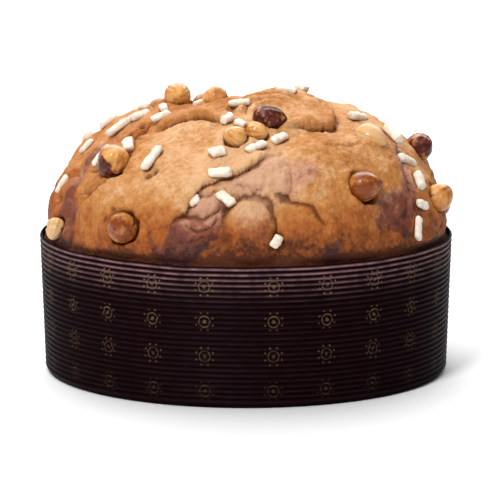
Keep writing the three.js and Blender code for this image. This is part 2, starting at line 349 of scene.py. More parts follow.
@dataclass(frozen=True)
class Fold:
    """A flap or a crack of the crust: its left side stands out as a lip over a groove.

    The edge is the share that the lip's edge is rounded off and over what width, the foot is the
    share of the groove that the lip's foot sinks and over what width, and the last widths are
    those of the wall, of the calm dough beside it and of the overhang.
    """

    stops: tuple[tuple[float, float], ...]
    lip: float
    groove: float
    lip_width: float = 13.0
    groove_width: float = 3.4
    overhang: float = 1.1
    wrinkle: float = 0.3
    plain_lip: bool = False
    edge: ClassVar[tuple[float, float]] = (0.35, 1.6)
    foot: ClassVar[tuple[float, float]] = (0.3, 1.5)
    wave_share: ClassVar[float] = 0.8
    least_wave: ClassVar[float] = 1.0
    wave_bend: ClassVar[float] = 3.0
    squeezed_share: ClassVar[float] = 3.0
    wall: ClassVar[float] = 1.0
    calm: ClassVar[float] = 2.0
    overhang_width: ClassVar[float] = 5.0

    def relief(self, trace: Trace, ripple: Array) -> tuple[Array, Array]:
        """Work out how the fold moves the crust.

        On the left the lip is a wide bell curve with a rounded edge, and on the right the groove
        is a narrow one, with waves along it where the dough is squeezed. The two meet in a steep
        wall, and the lip's edge also moves sideways over the groove.

        Args:
            trace: where the points lie beside the fold.
            ripple: noise that bends the wrinkles.

        Returns:
            The heights, and the sideways moves.
        """
        away = np.abs(trace.beside)
        on_lip = smooth(-self.wall, self.wall, trace.beside)
        rounded, edge_width = self.edge
        sunk, foot_width = self.foot
        lip = self.lip * bell(away, self.lip_width) * (1 - rounded * bell(away, edge_width))
        lip = lip - sunk * self.groove * bell(away, foot_width)
        groove = -self.groove * bell(away, self.groove_width)
        wave = self.wave_share * self.groove_width + self.least_wave
        waves = np.sin(FULL_TURN * away / wave + self.wave_bend * ripple)
        reach = self.squeezed_share * self.groove_width
        squeezed = bell(away, reach) * (1 - bell(away, self.calm))
        groove = groove + self.wrinkle * waves * squeezed
        height = trace.taper * (on_lip * lip + (1 - on_lip) * groove)
        shift = -self.overhang * trace.taper * on_lip * bell(away, self.overhang_width)
        return height, shift[:, None] * trace.left


@dataclass(frozen=True)
class Crease(Fold):
    """A small wrinkle of the crust, as a narrow low fold."""

    lip_width: float = 3.6
    groove_width: float = 1.8
    overhang: float = 0.4
    wrinkle: float = 0.0


@dataclass(frozen=True)
class Knot:
    """Dough rolled up in rings round a place, as at the crown, open on the side to the rim."""

    bearing: float
    climb: float
    first: float = 8.0
    last: float = 32.0
    spacing: float = 6.4
    rise: float = 1.5
    uneven: ClassVar[float] = 1.8
    opening: ClassVar[Limits] = (-0.1, 0.45)
    start: ClassVar[float] = 2.0
    fade: ClassVar[float] = 8.0
    level: ClassVar[float] = 0.6
    crease: ClassVar[float] = 0.45

    def relief(self, dome: Dome, points: Array, ripple: Array) -> tuple[Array, Array]:
        """Work out the rings: round rolls |sin(pi r / spacing)| with sharp creases between.

        Args:
            dome: the plain dome.
            points: places on it.
            ripple: noise that makes the rings uneven.

        Returns:
            The heights, and a share that is 1 down in the creases, which sets painted shade there.
        """
        seat = dome.seat(self.bearing, self.climb)
        way = points - seat.point
        radius = np.linalg.norm(way, axis=1) + self.uneven * ripple
        behind = smooth(*self.opening, way @ seat.up / np.maximum(radius, 1))
        inside = smooth(self.first - self.start, self.first + self.start, radius)
        mask = behind * inside * (1 - smooth(self.last - self.fade, self.last, radius))
        roll = np.abs(np.sin(np.pi * (radius - self.first) / self.spacing))
        low = mask * (1 - smooth(0.0, self.crease, roll))
        return self.rise * mask * (roll - self.level), low


@dataclass(frozen=True)
class Streak:
    """A streak of cocoa dough along a route."""

    stops: tuple[tuple[float, float], ...]
    width: float
    depth: float = 1.0


@dataclass(frozen=True)
class Roast:
    """How a nut looks: its skin's share, how that gathers on one side, its colour and gloss.

    The side is the tip's, turned by some degrees towards the heading 0.
    """

    skin: float
    lean: float
    depth: float
    rough: float
    turned: float = 0.0


class NutLook(Enum):
    """The kinds of roasted nut on the crust."""

    GOLDEN = Roast(0.08, 0.0, 0.36, 0.26)
    AMBER = Roast(0.1, 0.0, 0.9, 0.24)
    BLOND = Roast(0.0, 0.0, 0.02, 0.45)
    HALF_SKINNED = Roast(0.54, 2.6, 0.42, 0.24, 12)
    DULL = Roast(0.14, 0.0, 0.4, 0.42)
    DARK = Roast(0.74, 0.0, 0.6, 0.26)


@dataclass(frozen=True)
class Nut:
    """A hazelnut's place and size, and where its point looks."""

    bearing: float
    climb: float
    width: float
    length: float
    tip: float
    lift: float
    look: NutLook
    split: float = 0.0


@dataclass(frozen=True)
class Grain:
    """A short blunt rod of sugar, with its place, its size and the way that it lies."""

    bearing: float
    climb: float
    length: float
    width: float
    heading: float


@dataclass(frozen=True)
class Spread:
    """A rule that spreads pieces over the crust that the front doesn't show.

    The height in the dome rises from one piece to the next, and the bearing jumps by a share of
    the free arc, so that no two crowd together.
    """

    count: int
    bearings: Limits
    heights: Limits
    turn: float

    def places(self) -> list[tuple[int, float, float]]:
        """Each piece's place in the row, with its bearing and its climb."""
        row = np.arange(self.count)
        height = between(self.heights, (row + 0.5) / self.count)
        bearing = between(self.bearings, ((row + 0.5) * self.turn) % 1)
        climb = np.degrees(np.arcsin(height))
        return list(zip(row.tolist(), bearing.tolist(), climb.tolist()))


@dataclass
class Nuts:
    """All the hazelnuts: those that the front shows, then those spread by the rule."""

    front: tuple[Nut, ...] = (
        Nut(-50, 35, 15.5, 18.5, 250, -32, NutLook.HALF_SKINNED),
        Nut(-36, 12, 15, 15.5, 70, 60, NutLook.AMBER),
        Nut(-68, 6, 10, 11.5, 300, 20, NutLook.BLOND, 0.2),
        Nut(-85, 70.5, 13.5, 15, 10, 10, NutLook.GOLDEN),
        Nut(-66, 80.5, 12.5, 14.5, 160, 10, NutLook.DULL),
        Nut(-4.5, 50.5, 10.5, 11.5, 200, 40, NutLook.GOLDEN),
        Nut(5, 54.5, 10, 11, 330, 10, NutLook.GOLDEN),
        Nut(13.5, 62, 13, 16.5, 350, 5, NutLook.DARK),
    )
    spread: Spread = Spread(13, (34, 262), (0.1, 0.8), 0.618034)
    widths: Limits = (12.5, 15.5)
    longer: Limits = (1.05, 1.2)
    tips: Limits = (0, 360)
    lifts: Limits = (0, 40)
    look_turn: tuple[int, int] = (5, 1)

    def all(self) -> list[Nut]:
        """Every nut, in the order of the nodes' numbers."""
        looks = list(NutLook)
        step, start = self.look_turn
        nuts = list(self.front)
        for place, bearing, climb in self.spread.places():
            width = between(self.widths, scatter(place, Draw.NUT_WIDTH))
            length = width * between(self.longer, scatter(place, Draw.NUT_LENGTH))
            tip = between(self.tips, scatter(place, Draw.NUT_TIP))
            lift = between(self.lifts, scatter(place, Draw.NUT_LIFT))
            look = looks[(place * step + start) % len(looks)]
            nuts.append(Nut(bearing, climb, width, length, tip, lift, look))
        return nuts


@dataclass
class Pocket:
    """The room that a nut takes in the crust, round the nut's middle."""

    middle: Array
    out: Array
    radius: float
    depth: float = 5.0
    least_gap: float = 0.2
    gap: float = 1.5
    gap_noise: Limits = (-0.6, 0.7)
    wall: Limits = (-1.2, 0.6)
    brim: float = 0.8
    brim_place: float = 2.2
    brim_width: float = 2.4
    brim_uneven: float = 0.5
    reach: float = 3.0

    def height(self, points: Array, noise: Array) -> tuple[Array, Array]:
        """Work out how a pocket moves the crust.

        Inside the nut's radius the crust drops by the depth, behind a gap whose width changes
        round the nut, and outside it the crust rises in a low brim, a bell curve of the distance.

        Args:
            points: places on the crust.
            noise: values of about -1 to 1 that make the gap wider and narrower.

        Returns:
            The heights, and a share that is 1 down in the gap, which also sets painted shade there.
        """
        way = points - self.middle
        deep = way @ self.out
        across = np.linalg.norm(way - deep[:, None] * self.out, axis=1)
        near = np.abs(deep) < self.reach * self.radius
        edge = self.radius + self.least_gap + self.gap * smooth(*self.gap_noise, noise)
        inner, outer = self.wall
        down = near * (1 - smooth(edge + inner, edge + outer, across))
        brim = near * self.brim * bell(across - edge - self.brim_place, self.brim_width)
        brim = brim * (1 - self.brim_uneven * noise)
        return brim - self.depth * down, down


@dataclass(frozen=True)
class Bed:
    """The dent that a sugar grain has baked in the crust, with a darker edge round it, partly caramel
    and partly painted shade.
    """

    middle: Array
    course: Array
    half: float
    radius: float
    depth: float = 0.7
    edge: float = 1.1

    def height(self, points: Array) -> tuple[Array, Array]:
        """The drop round the grain, a bell curve of the distance to its side, and its share."""
        way = points - self.middle
        along = np.clip(way @ self.course, -self.half, self.half)
        away = np.linalg.norm(way - along[:, None] * self.course, axis=1)
        share = bell(np.maximum(away - self.radius, 0), self.edge)
        return -self.depth * share, share


@dataclass
class CrustForm:
    """The crust's heights over the plain dome, and the dough's colours on it."""

    dome: Dome = Dome()
    free_climb: float = 4.0
    lobes: tuple[Lobe, ...] = (
        Lobe(4, 35, 17, 4.5),
        Lobe(1, 16, 14, 6),
        Lobe(-30, 32, 58, 3.5, Edge.SOFT),
        Lobe(-18, 5, 24, 2.5, Edge.SOFT),
        Lobe(-76, 14, 16, 2),
        Lobe(-92, 38, 34, 1.5, Edge.SOFT),
        Lobe(2, 8, 14, 4.5, Edge.SOFT),
        Lobe(-66, 80.5, 13, 2.0, Edge.SOFT),
        Lobe(-85, 70.5, 13, 2.2, Edge.SOFT),
        Lobe(-57, 27, 7, 3.0),
        Lobe(-70, 21, 9, 3.2),
        Lobe(-51, 18, 5, 2.6),
        Lobe(-80, 27, 8, 2.6),
        Lobe(33, 70, 28, 3.5),
        Lobe(65, 79, 21, 4.5),
        Lobe(26, 8, 26, 4),
        Lobe(38, 34, 32, 4),
        Lobe(68, 15, 27, 4.5),
        Lobe(88, 40, 36, 3.5, Edge.SOFT),
        Lobe(112, 12, 24, 4),
        Lobe(142, 28, 42, 4, Edge.SOFT),
        Lobe(170, 9, 22, 4.5),
        Lobe(205, 32, 40, 3.5, Edge.SOFT),
        Lobe(236, 12, 26, 4),
        Lobe(250, 52, 30, 3, Edge.SOFT),
    )
    hollows: tuple[Spot, ...] = (
        Spot(-12, 15, 13, 3.5),
        Spot(-59, 12, 10, 2.5),
        Spot(-140, 80, 26, 5.5),
        Spot(48, 17, 12, 3),
        Spot(124, 48, 16, 3),
        Spot(190, 20, 12, 3),
        Spot(222, 62, 18, 2.5),
    )
    folds: tuple[Fold, ...] = (
        Fold(((-50, 54), (-46, 56), (-40, 59), (-35, 62), (-28, 63), (-20, 62), (-10, 58)), 2.5, 3.2),
        Fold(
            ((-24, 12), (-19, 20), (-15, 27), (-11, 32), (-3, 36), (3, 39), (13, 45)),
            2,
            2.2,
            plain_lip=True,
        ),
        Fold(
            ((-5, 6), (-7, 14), (-6, 22), (-3, 27), (2, 28), (7, 26), (9, 20), (9, 12), (7, 5)),
            0,
            2.5,
            overhang=0,
        ),
        Fold(((7, 27), (13, 27), (20, 22), (23, 13)), 0.5, 2),
        Fold(((-43, 32), (-46, 28), (-50, 24), (-54, 18), (-58, 13)), 2.8, 3.4, wrinkle=0.8),
        Fold(((-53, 43), (-55.5, 49), (-58, 54), (-61, 59)), 1.6, 3, lip_width=6, groove_width=2.6),
        Fold(((20, 58), (45, 56), (62, 62), (70, 72)), 3, 3),
        Fold(((58, 4), (55, 22), (62, 34), (78, 44), (98, 56), (120, 62)), 3, 3),
        Fold(((128, 6), (118, 20), (108, 30), (96, 34)), 2.5, 2.5),
        Fold(((188, 5), (180, 18), (176, 34), (168, 50), (150, 62), (128, 70)), 3, 3),
        Fold(((215, 8), (224, 24), (226, 40), (240, 56), (262, 64), (284, 60)), 2.5, 3),
    )
    creases: tuple[Crease, ...] = (
        Crease(((-20, 22), (-18, 20), (-14, 19), (-10, 21), (-7, 25)), 2.1, 1.9),
        Crease(((-19, 17), (-14, 14), (-10, 16), (-8, 20)), 1.6, 1.6),
        Crease(((-16, 27), (-11, 26), (-8, 29)), 1.2, 1.3),
        Crease(((-17, 9), (-12, 11), (-8, 12)), 1.0, 1.2),
        Crease(((-4, 31), (0, 31), (3, 29), (7, 30)), 0.9, 1.2),
        Crease(((-52, 22), (-58, 22), (-60, 20), (-64, 17)), 1.2, 2.2),
        Crease(((-59, 43), (-58.5, 47), (-59, 51), (-61, 54)), 1.0, 1.8),
        Crease(((-62, 31), (-55, 32), (-50, 29)), 1.0, 1.7),
        Crease(((-82, 26), (-77, 22), (-74, 16)), 1.2, 2.0),
        Crease(((-70, 30), (-66, 25), (-68, 18)), 0.6, 0.9),
        Crease(((-90, 20), (-84, 15), (-86, 8)), 0.8, 1.2),
        Crease(((-60, 50), (-56, 48), (-50, 49), (-47, 47)), 0.8, 1.1),
        Crease(((-66, 62), (-60, 66), (-50, 68), (-40, 67)), 0.9, 1.2),
        Crease(((-38, 72), (-24, 71), (-10, 68), (2, 66)), 0.8, 1.0),
        Crease(((30, 48), (40, 44), (52, 46)), 0.7, 0.9),
        Crease(((80, 20), (88, 24), (97, 20)), 0.8, 1.1),
        Crease(((136, 40), (146, 36), (158, 40)), 0.8, 1.1),
        Crease(((200, 14), (206, 20), (204, 30)), 0.8, 1.1),
        Crease(((240, 24), (250, 28), (258, 24)), 0.7, 1.0),
        Crease(((190, 60), (210, 66), (236, 70)), 0.8, 1.0),
    )
    knots: tuple[Knot, ...] = (Knot(20, 66, rise=2.9), Knot(150, 74, 9, 26, 6.0, 1.8))
    waves: tuple[tuple[float, float, float], ...] = ((1.2, 76, 0.6), (0.8, 41, 2.1))
    wave_slant: float = 0.5
    patches: tuple[Spot, ...] = (
        Spot(-20, 4, 10),
        Spot(0, 33, 12, 0.7),
        Spot(8, 38, 13, 0.62),
        Spot(16, 34, 12, 0.62),
        Spot(11, 30, 10, 0.62),
        Spot(2, 18, 14, 0.46),
        Spot(48, 16, 15),
        Spot(24, 3, 8, 0.7),
        Spot(100, 14, 13),
        Spot(124, 44, 17, 0.8),
        Spot(150, 6, 15),
        Spot(192, 19, 16),
        Spot(222, 60, 15, 0.6),
        Spot(250, 6, 13, 0.8),
    )
    streaks: tuple[Streak, ...] = (
        Streak(((-17, 1), (-15.5, 12), (-13, 16)), 13.5),
        Streak(((-14, 10), (-12, 20), (-10, 30)), 9.5),
        Streak(((-61, -4), (-64, 10), (-64.5, 22)), 8.5, 1.0),
        Streak(((-66, 16), (-66, 26), (-70, 34), (-72, 46)), 5.0, 0.85),
        Streak(((58, 4), (56, 20), (62, 32), (78, 42)), 7, 0.8),
        Streak(((182, 8), (178, 24), (172, 42)), 7.5, 0.8),
        Streak(((228, 20), (230, 38), (244, 52)), 7, 0.7),
        Streak(((128, 8), (119, 19), (109, 28)), 6, 0.8),
    )
    pale_places: tuple[Spot, ...] = (
        Spot(-16, 40, 34, 0.3),
        Spot(-34, 30, 26, 0.1),
        Spot(4, 40, 20, 0.12),
        # The ball's top is paler here, partly its own colour and partly painted highlight.
        Spot(1, 21, 11, 0.36),
        # Darker at the ball's foot: partly browning and partly painted shade.
        Spot(-3, 6, 14, -0.2),
        Spot(22, 64, 24, 0.2),
        Spot(6, 38, 13, 0.2),
        Spot(-28, 5, 18, -0.14),
        Spot(-58, 6, 22, 0.14),
        Spot(-48, 4, 9, 0.16),
        Spot(-64, 20, 8, -0.1),
        Spot(-64, 42, 26, -0.18),
        Spot(-98, 16, 20, -0.46),
        # The ball's foot is darker here, partly browning and partly painted shade.
        Spot(14, 8, 18, -0.2),
        Spot(-78, 16, 13, -0.14),
        Spot(-60, 75, 30, -0.06),
        Spot(95, 45, 34, 0.22),
        Spot(160, 42, 34, 0.22),
        Spot(232, 44, 34, 0.22),
    )
    pits: tuple[Spot, ...] = (
        Spot(-31, 34, 2.2, 2.2),
        Spot(-32.8, 32.2, 2.6, 1.7),
        Spot(-61, 53.5, 2.2, 2.2),
        Spot(-6.5, 22.5, 3.0, 2.8),
        Spot(-42, 14, 1.8, 1.5),
        Spot(-40, 18, 1.6, 1.3),
        Spot(-6, 10, 4.2, 2.2),
        Spot(-94, 13, 2.6, 1.6),
        Spot(-72, 17, 2.4, 1.9),
        Spot(-84, 19, 1.8, 1.5),
        Spot(-80, 14, 2.0, 1.6),
        Spot(-54, 22, 2.4, 1.6),
        Spot(-57, 47, 2.2, 1.5),
        Spot(9, 11, 3.4, 2.0),
        Spot(-16, 58, 2.0, 1.3),
    )
    lobe_bend: Bend = Bend(14, 1.6)
    fold_bend: Bend = Bend(9, 1.8)
    wrinkle_bend: Bend = Bend(12, 4)
    cocoa_bend: Bend = Bend(16, 5)
    ripple: Unevenness = Unevenness(1, 7, 2)
    lumps: Unevenness = Unevenness(0.75, 11, 3, 90)
    grain: Unevenness = Unevenness(0.3, 3.4, 2, -40)
    wrinkles: Unevenness = Unevenness(1, 6.5, 2, 5)
    marbling: Unevenness = Unevenness(0.16, 8, 3, 11)
    browning: Unevenness = Unevenness(0.2, 24, 3, -70)
    # Painted shade: which side of a fold is darkened, how deep a groove must be for full shade, and
    # how much knot creases darken.
    groove_shade_side: Limits = (1.0, -0.6)
    groove_for_full_shade: float = 1.6
    knot_shade: float = 0.9
    wrinkle_depth: float = 0.35
    wrinkle_edge: Limits = (0.86, 1.0)
    pores: int = 1100
    pore_seed: int = 3
    pore_heights: Limits = (0.05, 1.0)
    pore_sizes: Limits = (0.6, 1.5)
    pore_reach: float = 3.0
    pore_depth: float = 0.35
    # Painted shade in the pores.
    pore_shade: float = 0.45
    cocoa_edge: Limits = (0.3, 0.65)
    lip_reach: float = 16.0
    lip_side: Limits = (-1.2, 0.4)
    bake_plain: float = 0.36
    # Painted shade as well as browning: the crust darkens over the lower dome and in a band at the
    # rim.
    bake_and_shade_low: tuple[float, Limits] = (0.46, (1, 30))
    bake_and_shade_rim: tuple[float, Limits] = (0.4, (0, 5))
    bake_even: float = 0.5
    bake_most: float = 1.2
    noise: Noise = field(default_factory=lambda: Noise(7))

    def free(self, points: Array) -> Array:
        """How freely the crust moves, from 0 at the rim to 1 a little above it."""
        return smooth(0, self.free_climb, self.dome.climb(points))

    def main_height(self, points: Array) -> Array:
        """The highest lobe less the deepest hollow, plus long crossed sine waves."""
        lobes = np.max([lobe.height(self.dome, points) for lobe in self.lobes], axis=0)
        hollows = np.max([h.depth * h.share(self.dome, points) for h in self.hollows], axis=0)
        total = lobes - hollows
        x, y, z = points.T
        z = self.wave_slant * z
        for height, length, phase in self.waves:
            turn = FULL_TURN / length
            crossed = np.sin(turn * (x + z) + phase) * np.sin(turn * (y - z) + 2 * phase)
            total = total + height * crossed
        return total

    def traces(self, points: Array, out: Array) -> list[Trace]:
        """Where the points lie beside each fold, with the folds' lines made uneven by noise."""
        bent = self.fold_bend.move(self.noise, points)
        lines = (*self.folds, *self.creases)
        return [Route(line.stops).trace(self.dome, bent, out) for line in lines]

    def shape(self, points: Array) -> tuple[Array, Array]:
        """Shape the crust, but for the pockets and the pores.

        Args:
            points: places on the plain dome.

        Returns:
            The shaped places, and a share of painted shade that is 1 deep in a groove.
        """
        out = self.dome.outward(points)
        height = self.main_height(self.lobe_bend.move(self.noise, points))
        ripple = self.ripple.read(self.noise, points)
        shift = np.zeros_like(points)
        groove = np.zeros(len(points))
        for line, trace in zip((*self.folds, *self.creases), self.traces(points, out)):
            lifted, moved = line.relief(trace, ripple)
            height = height + lifted
            shift = shift + moved
            # Painted shade: each fold's groove side gets a share of the dark groove colour, fuller for
            # deeper grooves.
            low = smooth(*self.groove_shade_side, trace.beside) * bell(trace.beside, line.groove_width)
            depth = min(1.0, line.groove / self.groove_for_full_shade)
            groove = np.maximum(groove, depth * trace.taper * low)
        for knot in self.knots:
            lifted, low = knot.relief(self.dome, points, ripple)
            height = height + lifted
            # Painted shade down in the knot's creases.
            groove = np.maximum(groove, self.knot_shade * low)
        lumps = self.lumps.read(self.noise, points)
        free = self.free(points)
        moved = points + free[:, None] * ((height + lumps)[:, None] * out + shift)
        return moved, groove * free

    def skin(self, points: Array) -> tuple[Array, Array]:
        """Work out the crust's fine skin: grain and shallow wrinkles of noise, pits and pores.

        A pit or a pore is a bell curve of the distance to its middle, and the pores' places are
        drawn from a seed, evenly over the height.

        Args:
            points: places on the plain dome.

        Returns:
            The heights, and a share of painted shade that is 1 down in a pit and less in a pore.
        """
        bent = self.wrinkle_bend.move(self.noise, points)
        folded = 1 - np.abs(self.wrinkles.read(self.noise, bent))
        height = self.grain.read(self.noise, points)
        height = height - self.wrinkle_depth * smooth(*self.wrinkle_edge, folded)
        sunk = np.zeros(len(points))
        for pit in self.pits:
            share = pit.share(self.dome, points)
            height = height - pit.depth * share
            # The pit's share also sets painted shade.
            sunk = np.maximum(sunk, share)
        draw = np.random.default_rng(self.pore_seed)
        bearing = draw.uniform(0, 360, self.pores)
        climb = np.degrees(np.arcsin(draw.uniform(*self.pore_heights, self.pores)))
        middles = self.dome.point(bearing, climb)
        sizes = draw.uniform(*self.pore_sizes, self.pores)
        for middle, size in zip(middles, sizes):
            near = np.flatnonzero(np.abs(points - middle).max(axis=1) < self.pore_reach * size)
            share = bell(np.linalg.norm(points[near] - middle, axis=1), size)
            height[near] -= self.pore_depth * size * share
            # Painted shade in the pore.
            sunk[near] = np.maximum(sunk[near], self.pore_shade * share)
        return height * self.free(points), sunk

    def seat(self, bearing: float, climb: float) -> Seat:
        """The seat at a bearing and a climb, on the finished crust."""
        plain = self.dome.seat(bearing, climb)
        moved, _ = self.shape(plain.point[None, :])
        return Seat(moved[0], plain.along, plain.up, plain.out)

    def cocoa(self, points: Array, out: Array) -> Array:
        """Work out how much cocoa dough shows.

        A patch or a streak is a bell curve of the distance to its middle, with noise on it and a
        smooth edge where it falls away. None shows on a lip of plain dough.

        Args:
            points: places on the plain dome.
            out: the directions out of the dome there.

        Returns:
            A share of 0 to 1 for each point.
        """
        bent = self.cocoa_bend.move(self.noise, points)
        marbling = self.marbling.read(self.noise, points)
        reached = [(spot.depth, spot.share(self.dome, bent)) for spot in self.patches]
        for streak in self.streaks:
            trace = Route(streak.stops).trace(self.dome, bent, out)
            reached.append((streak.depth, trace.taper * bell(trace.beside, streak.width)))
        shares = [depth * smooth(*self.cocoa_edge, near + marbling) for depth, near in reached]
        share = np.max(shares, axis=0)
        lines = (*self.folds, *self.creases)
        for line, trace in zip(lines, self.traces(points, out)):
            if line.plain_lip:
                near = trace.taper * smooth(self.lip_reach, 0, trace.beside)
                share = share * (1 - near * smooth(*self.lip_side, trace.beside))
        return share

    def bake(self, points: Array) -> Array:
        """How browned and shaded the crust is: most and most evenly at the rim, where the darkening is
        partly browning and partly painted shade, least at pale places.
        """
        climb = self.dome.climb(points)
        (low_bake, low_climbs), (rim_bake, rim_climbs) = self.bake_and_shade_low, self.bake_and_shade_rim
        low = 1 - smooth(*low_climbs, climb)
        rim = 1 - smooth(*rim_climbs, climb)
        shares = [spot.depth * spot.share(self.dome, points) for spot in self.pale_places]
        pale = np.sum(shares, axis=0)
        patchy = self.browning.read(self.noise, points) * (1 - self.bake_even * low)
        baked = self.bake_plain - pale + low_bake * low + rim_bake * rim + patchy
        return np.clip(baked, 0, self.bake_most)


class Form:
    """A grid of points that is made a mesh object, with its attributes."""

    pole_size = 1e-6

    def __init__(self, name: str, rows: Array) -> None:
        """Keep the name and the grid.

        Args:
            name: the object's name.
            rows: the grid, of rows by columns by three, in millimetres. Its columns close on
                themselves, and a first or last row that has shrunk to a point becomes a pole.
        """
        self.name = name
        self.rows = rows
        self.values: dict[str, Array] = {}
        self.turns: tuple[Array, Array] | None = None

    def value(self, name: str, values: Array) -> None:
        """Add an attribute, with one value for each point of the grid."""
        self.values[name] = values.reshape(self.rows.shape[:2])

    def measured(self, across: Array, up: Array) -> None:
        """Add a UV map: across for each column line and the one that closes it, up for each row."""
        self.turns = (across, up)

    def object(self) -> bpy.types.Object:
        """Make the mesh of four-sided faces, with fans of triangles at the poles.

        Returns:
            The object, in metres and shaded smooth.
        """
        count, columns = self.rows.shape[:2]
        kept = np.ones((count, columns), bool)
        sizes = {end: np.ptp(self.rows[end], axis=0).max() for end in (0, -1)}
        poles = [end for end, size in sizes.items() if size < self.pole_size]
        kept[poles, 1:] = False
        number = np.cumsum(kept).reshape(count, columns) - 1
        number[poles] = number[poles, :1]
        row, column = np.mgrid[0 : count - 1, 0:columns].reshape(2, -1)
        rows = np.stack([row, row, row + 1, row + 1], axis=1)
        lines = np.stack([column, column + 1, column + 1, column], axis=1)
        corners = number[rows, lines % columns]
        use = np.ones(corners.shape, bool)
        use[row == 0, 1] = 0 not in poles
        use[row == count - 2, 3] = -1 not in poles
        mesh = bpy.data.meshes.new(self.name)
        faces = [face[used].tolist() for face, used in zip(corners, use)]
        mesh.from_pydata((self.rows[kept] * MM).tolist(), [], faces)
        for name, values in self.values.items():
            attribute = mesh.attributes.new(name, "FLOAT", "POINT")
            attribute.data.foreach_set("value", values[kept])
        if self.turns is not None:
            across, up = self.turns
            places = np.stack([across[lines], up[rows]], axis=-1)[use]
            mesh.uv_layers.new(name="measured").data.foreach_set("uv", places.ravel())
        mesh.shade_smooth()
        made = bpy.data.objects.new(self.name, mesh)
        bpy.context.scene.collection.objects.link(made)
        return made


class Cloud(NamedTuple):
    """A noise texture's size in millimetres, its layers and their roughness."""

    size: float
    detail: float
    rough: float = 0.5


class Paint:
    """A material's node tree, with short calls for the nodes that the finishes share."""

    mix_colours = (6, 7)
    mix_result = 2

    def __init__(self, name: str) -> None:
        """Start a material with a plain shader."""
        self.material = bpy.data.materials.new(name)
        self.material.use_nodes = True
        self.tree = self.material.node_tree
        self.shader = self.tree.nodes["Principled BSDF"]
        self.place = self.node("ShaderNodeTexCoord").outputs["Object"]

    def node(self, kind: str, **settings: object) -> bpy.types.Node:
        """A new node with settings."""
        made = self.tree.nodes.new(kind)
        for name, value in settings.items():
            setattr(made, name, value)
        return made

    def feed(self, socket: bpy.types.NodeSocket, value: object) -> None:
        """Link a socket into another, or set a plain value on it."""
        if isinstance(value, bpy.types.NodeSocket):
            self.tree.links.new(value, socket)
        elif isinstance(value, tuple) and len(value) == 3 and socket.type == "RGBA":
            socket.default_value = (*value, 1)
        else:
            socket.default_value = value

    def math(self, kind: str, *values: object) -> bpy.types.NodeSocket:
        """A sum of one, two or three values."""
        made = self.node("ShaderNodeMath", operation=kind)
        for socket, value in zip(made.inputs, values):
            self.feed(socket, value)
        return made.outputs[0]

    def squares(self, first: object, second: object) -> bpy.types.NodeSocket:
        """The squares of two values, added up."""
        return self.math("MULTIPLY_ADD", first, first, self.math("MULTIPLY", second, second))

    def signed(self, cloud: Cloud) -> bpy.types.NodeSocket:
        """Noise of -0.5 to 0.5 in the object's space."""
        return self.math("SUBTRACT", self.noise(cloud), 0.5)

    def attribute(self, name: str) -> bpy.types.NodeSocket:
        """A mesh's own attribute."""
        return self.node("ShaderNodeAttribute", attribute_name=name).outputs["Fac"]

    def noise(self, cloud: Cloud) -> bpy.types.NodeSocket:
        """Noise of 0 to 1 in the object's space."""
        made = self.node("ShaderNodeTexNoise")
        self.feed(made.inputs["Vector"], self.place)
        self.feed(made.inputs["Scale"], 1 / (cloud.size * MM))
        self.feed(made.inputs["Detail"], cloud.detail)
        self.feed(made.inputs["Roughness"], cloud.rough)
        return made.outputs["Fac"]

    def step(
        self, value: object, low: float, high: float, to: Limits = (0, 1)
    ) -> bpy.types.NodeSocket:
        """A smooth step of a value from low to high, onto other limits."""
        made = self.node("ShaderNodeMapRange", interpolation_type="SMOOTHSTEP")
        for name, given in zip(("Value", "From Min", "From Max"), (value, low, high)):
            self.feed(made.inputs[name], given)
        self.feed(made.inputs["To Min"], to[0])
        self.feed(made.inputs["To Max"], to[1])
        return made.outputs["Result"]

    def mix(self, share: object, first: object, second: object) -> bpy.types.NodeSocket:
        """A colour between two, by a share."""
        made = self.node("ShaderNodeMix", data_type="RGBA")
        self.feed(made.inputs["Factor"], share)
        for socket, colour in zip(self.mix_colours, (first, second)):
            self.feed(made.inputs[socket], colour)
        return made.outputs[self.mix_result]

    def ramp(self, value: object, *stops: tuple[float, Colour]) -> bpy.types.NodeSocket:
        """A colour from a row of colours at stops of 0 to 1."""
        made = self.node("ShaderNodeValToRGB")
        row = made.color_ramp.elements
        while len(row) < len(stops):
            row.new(0.5)
        for element, (place, colour) in zip(row, stops):
            element.position = place
            element.color = (*colour, 1)
        self.feed(made.inputs["Fac"], value)
        return made.outputs["Color"]

    def bump(self, height: object, depth: float, normal: object = None) -> bpy.types.NodeSocket:
        """A bump of a height of 0 to 1 that is a depth in millimetres deep."""
        made = self.node("ShaderNodeBump")
        self.feed(made.inputs["Height"], height)
        self.feed(made.inputs["Distance"], depth * MM)
        if normal is not None:
            self.feed(made.inputs["Normal"], normal)
        return made.outputs["Normal"]

    def finish(self, inputs: dict[str, object]) -> bpy.types.Material:
        """Feed the shader's inputs by their names, and give the material."""
        for name, value in inputs.items():
            self.feed(self.shader.inputs[name], value)
        return self.material


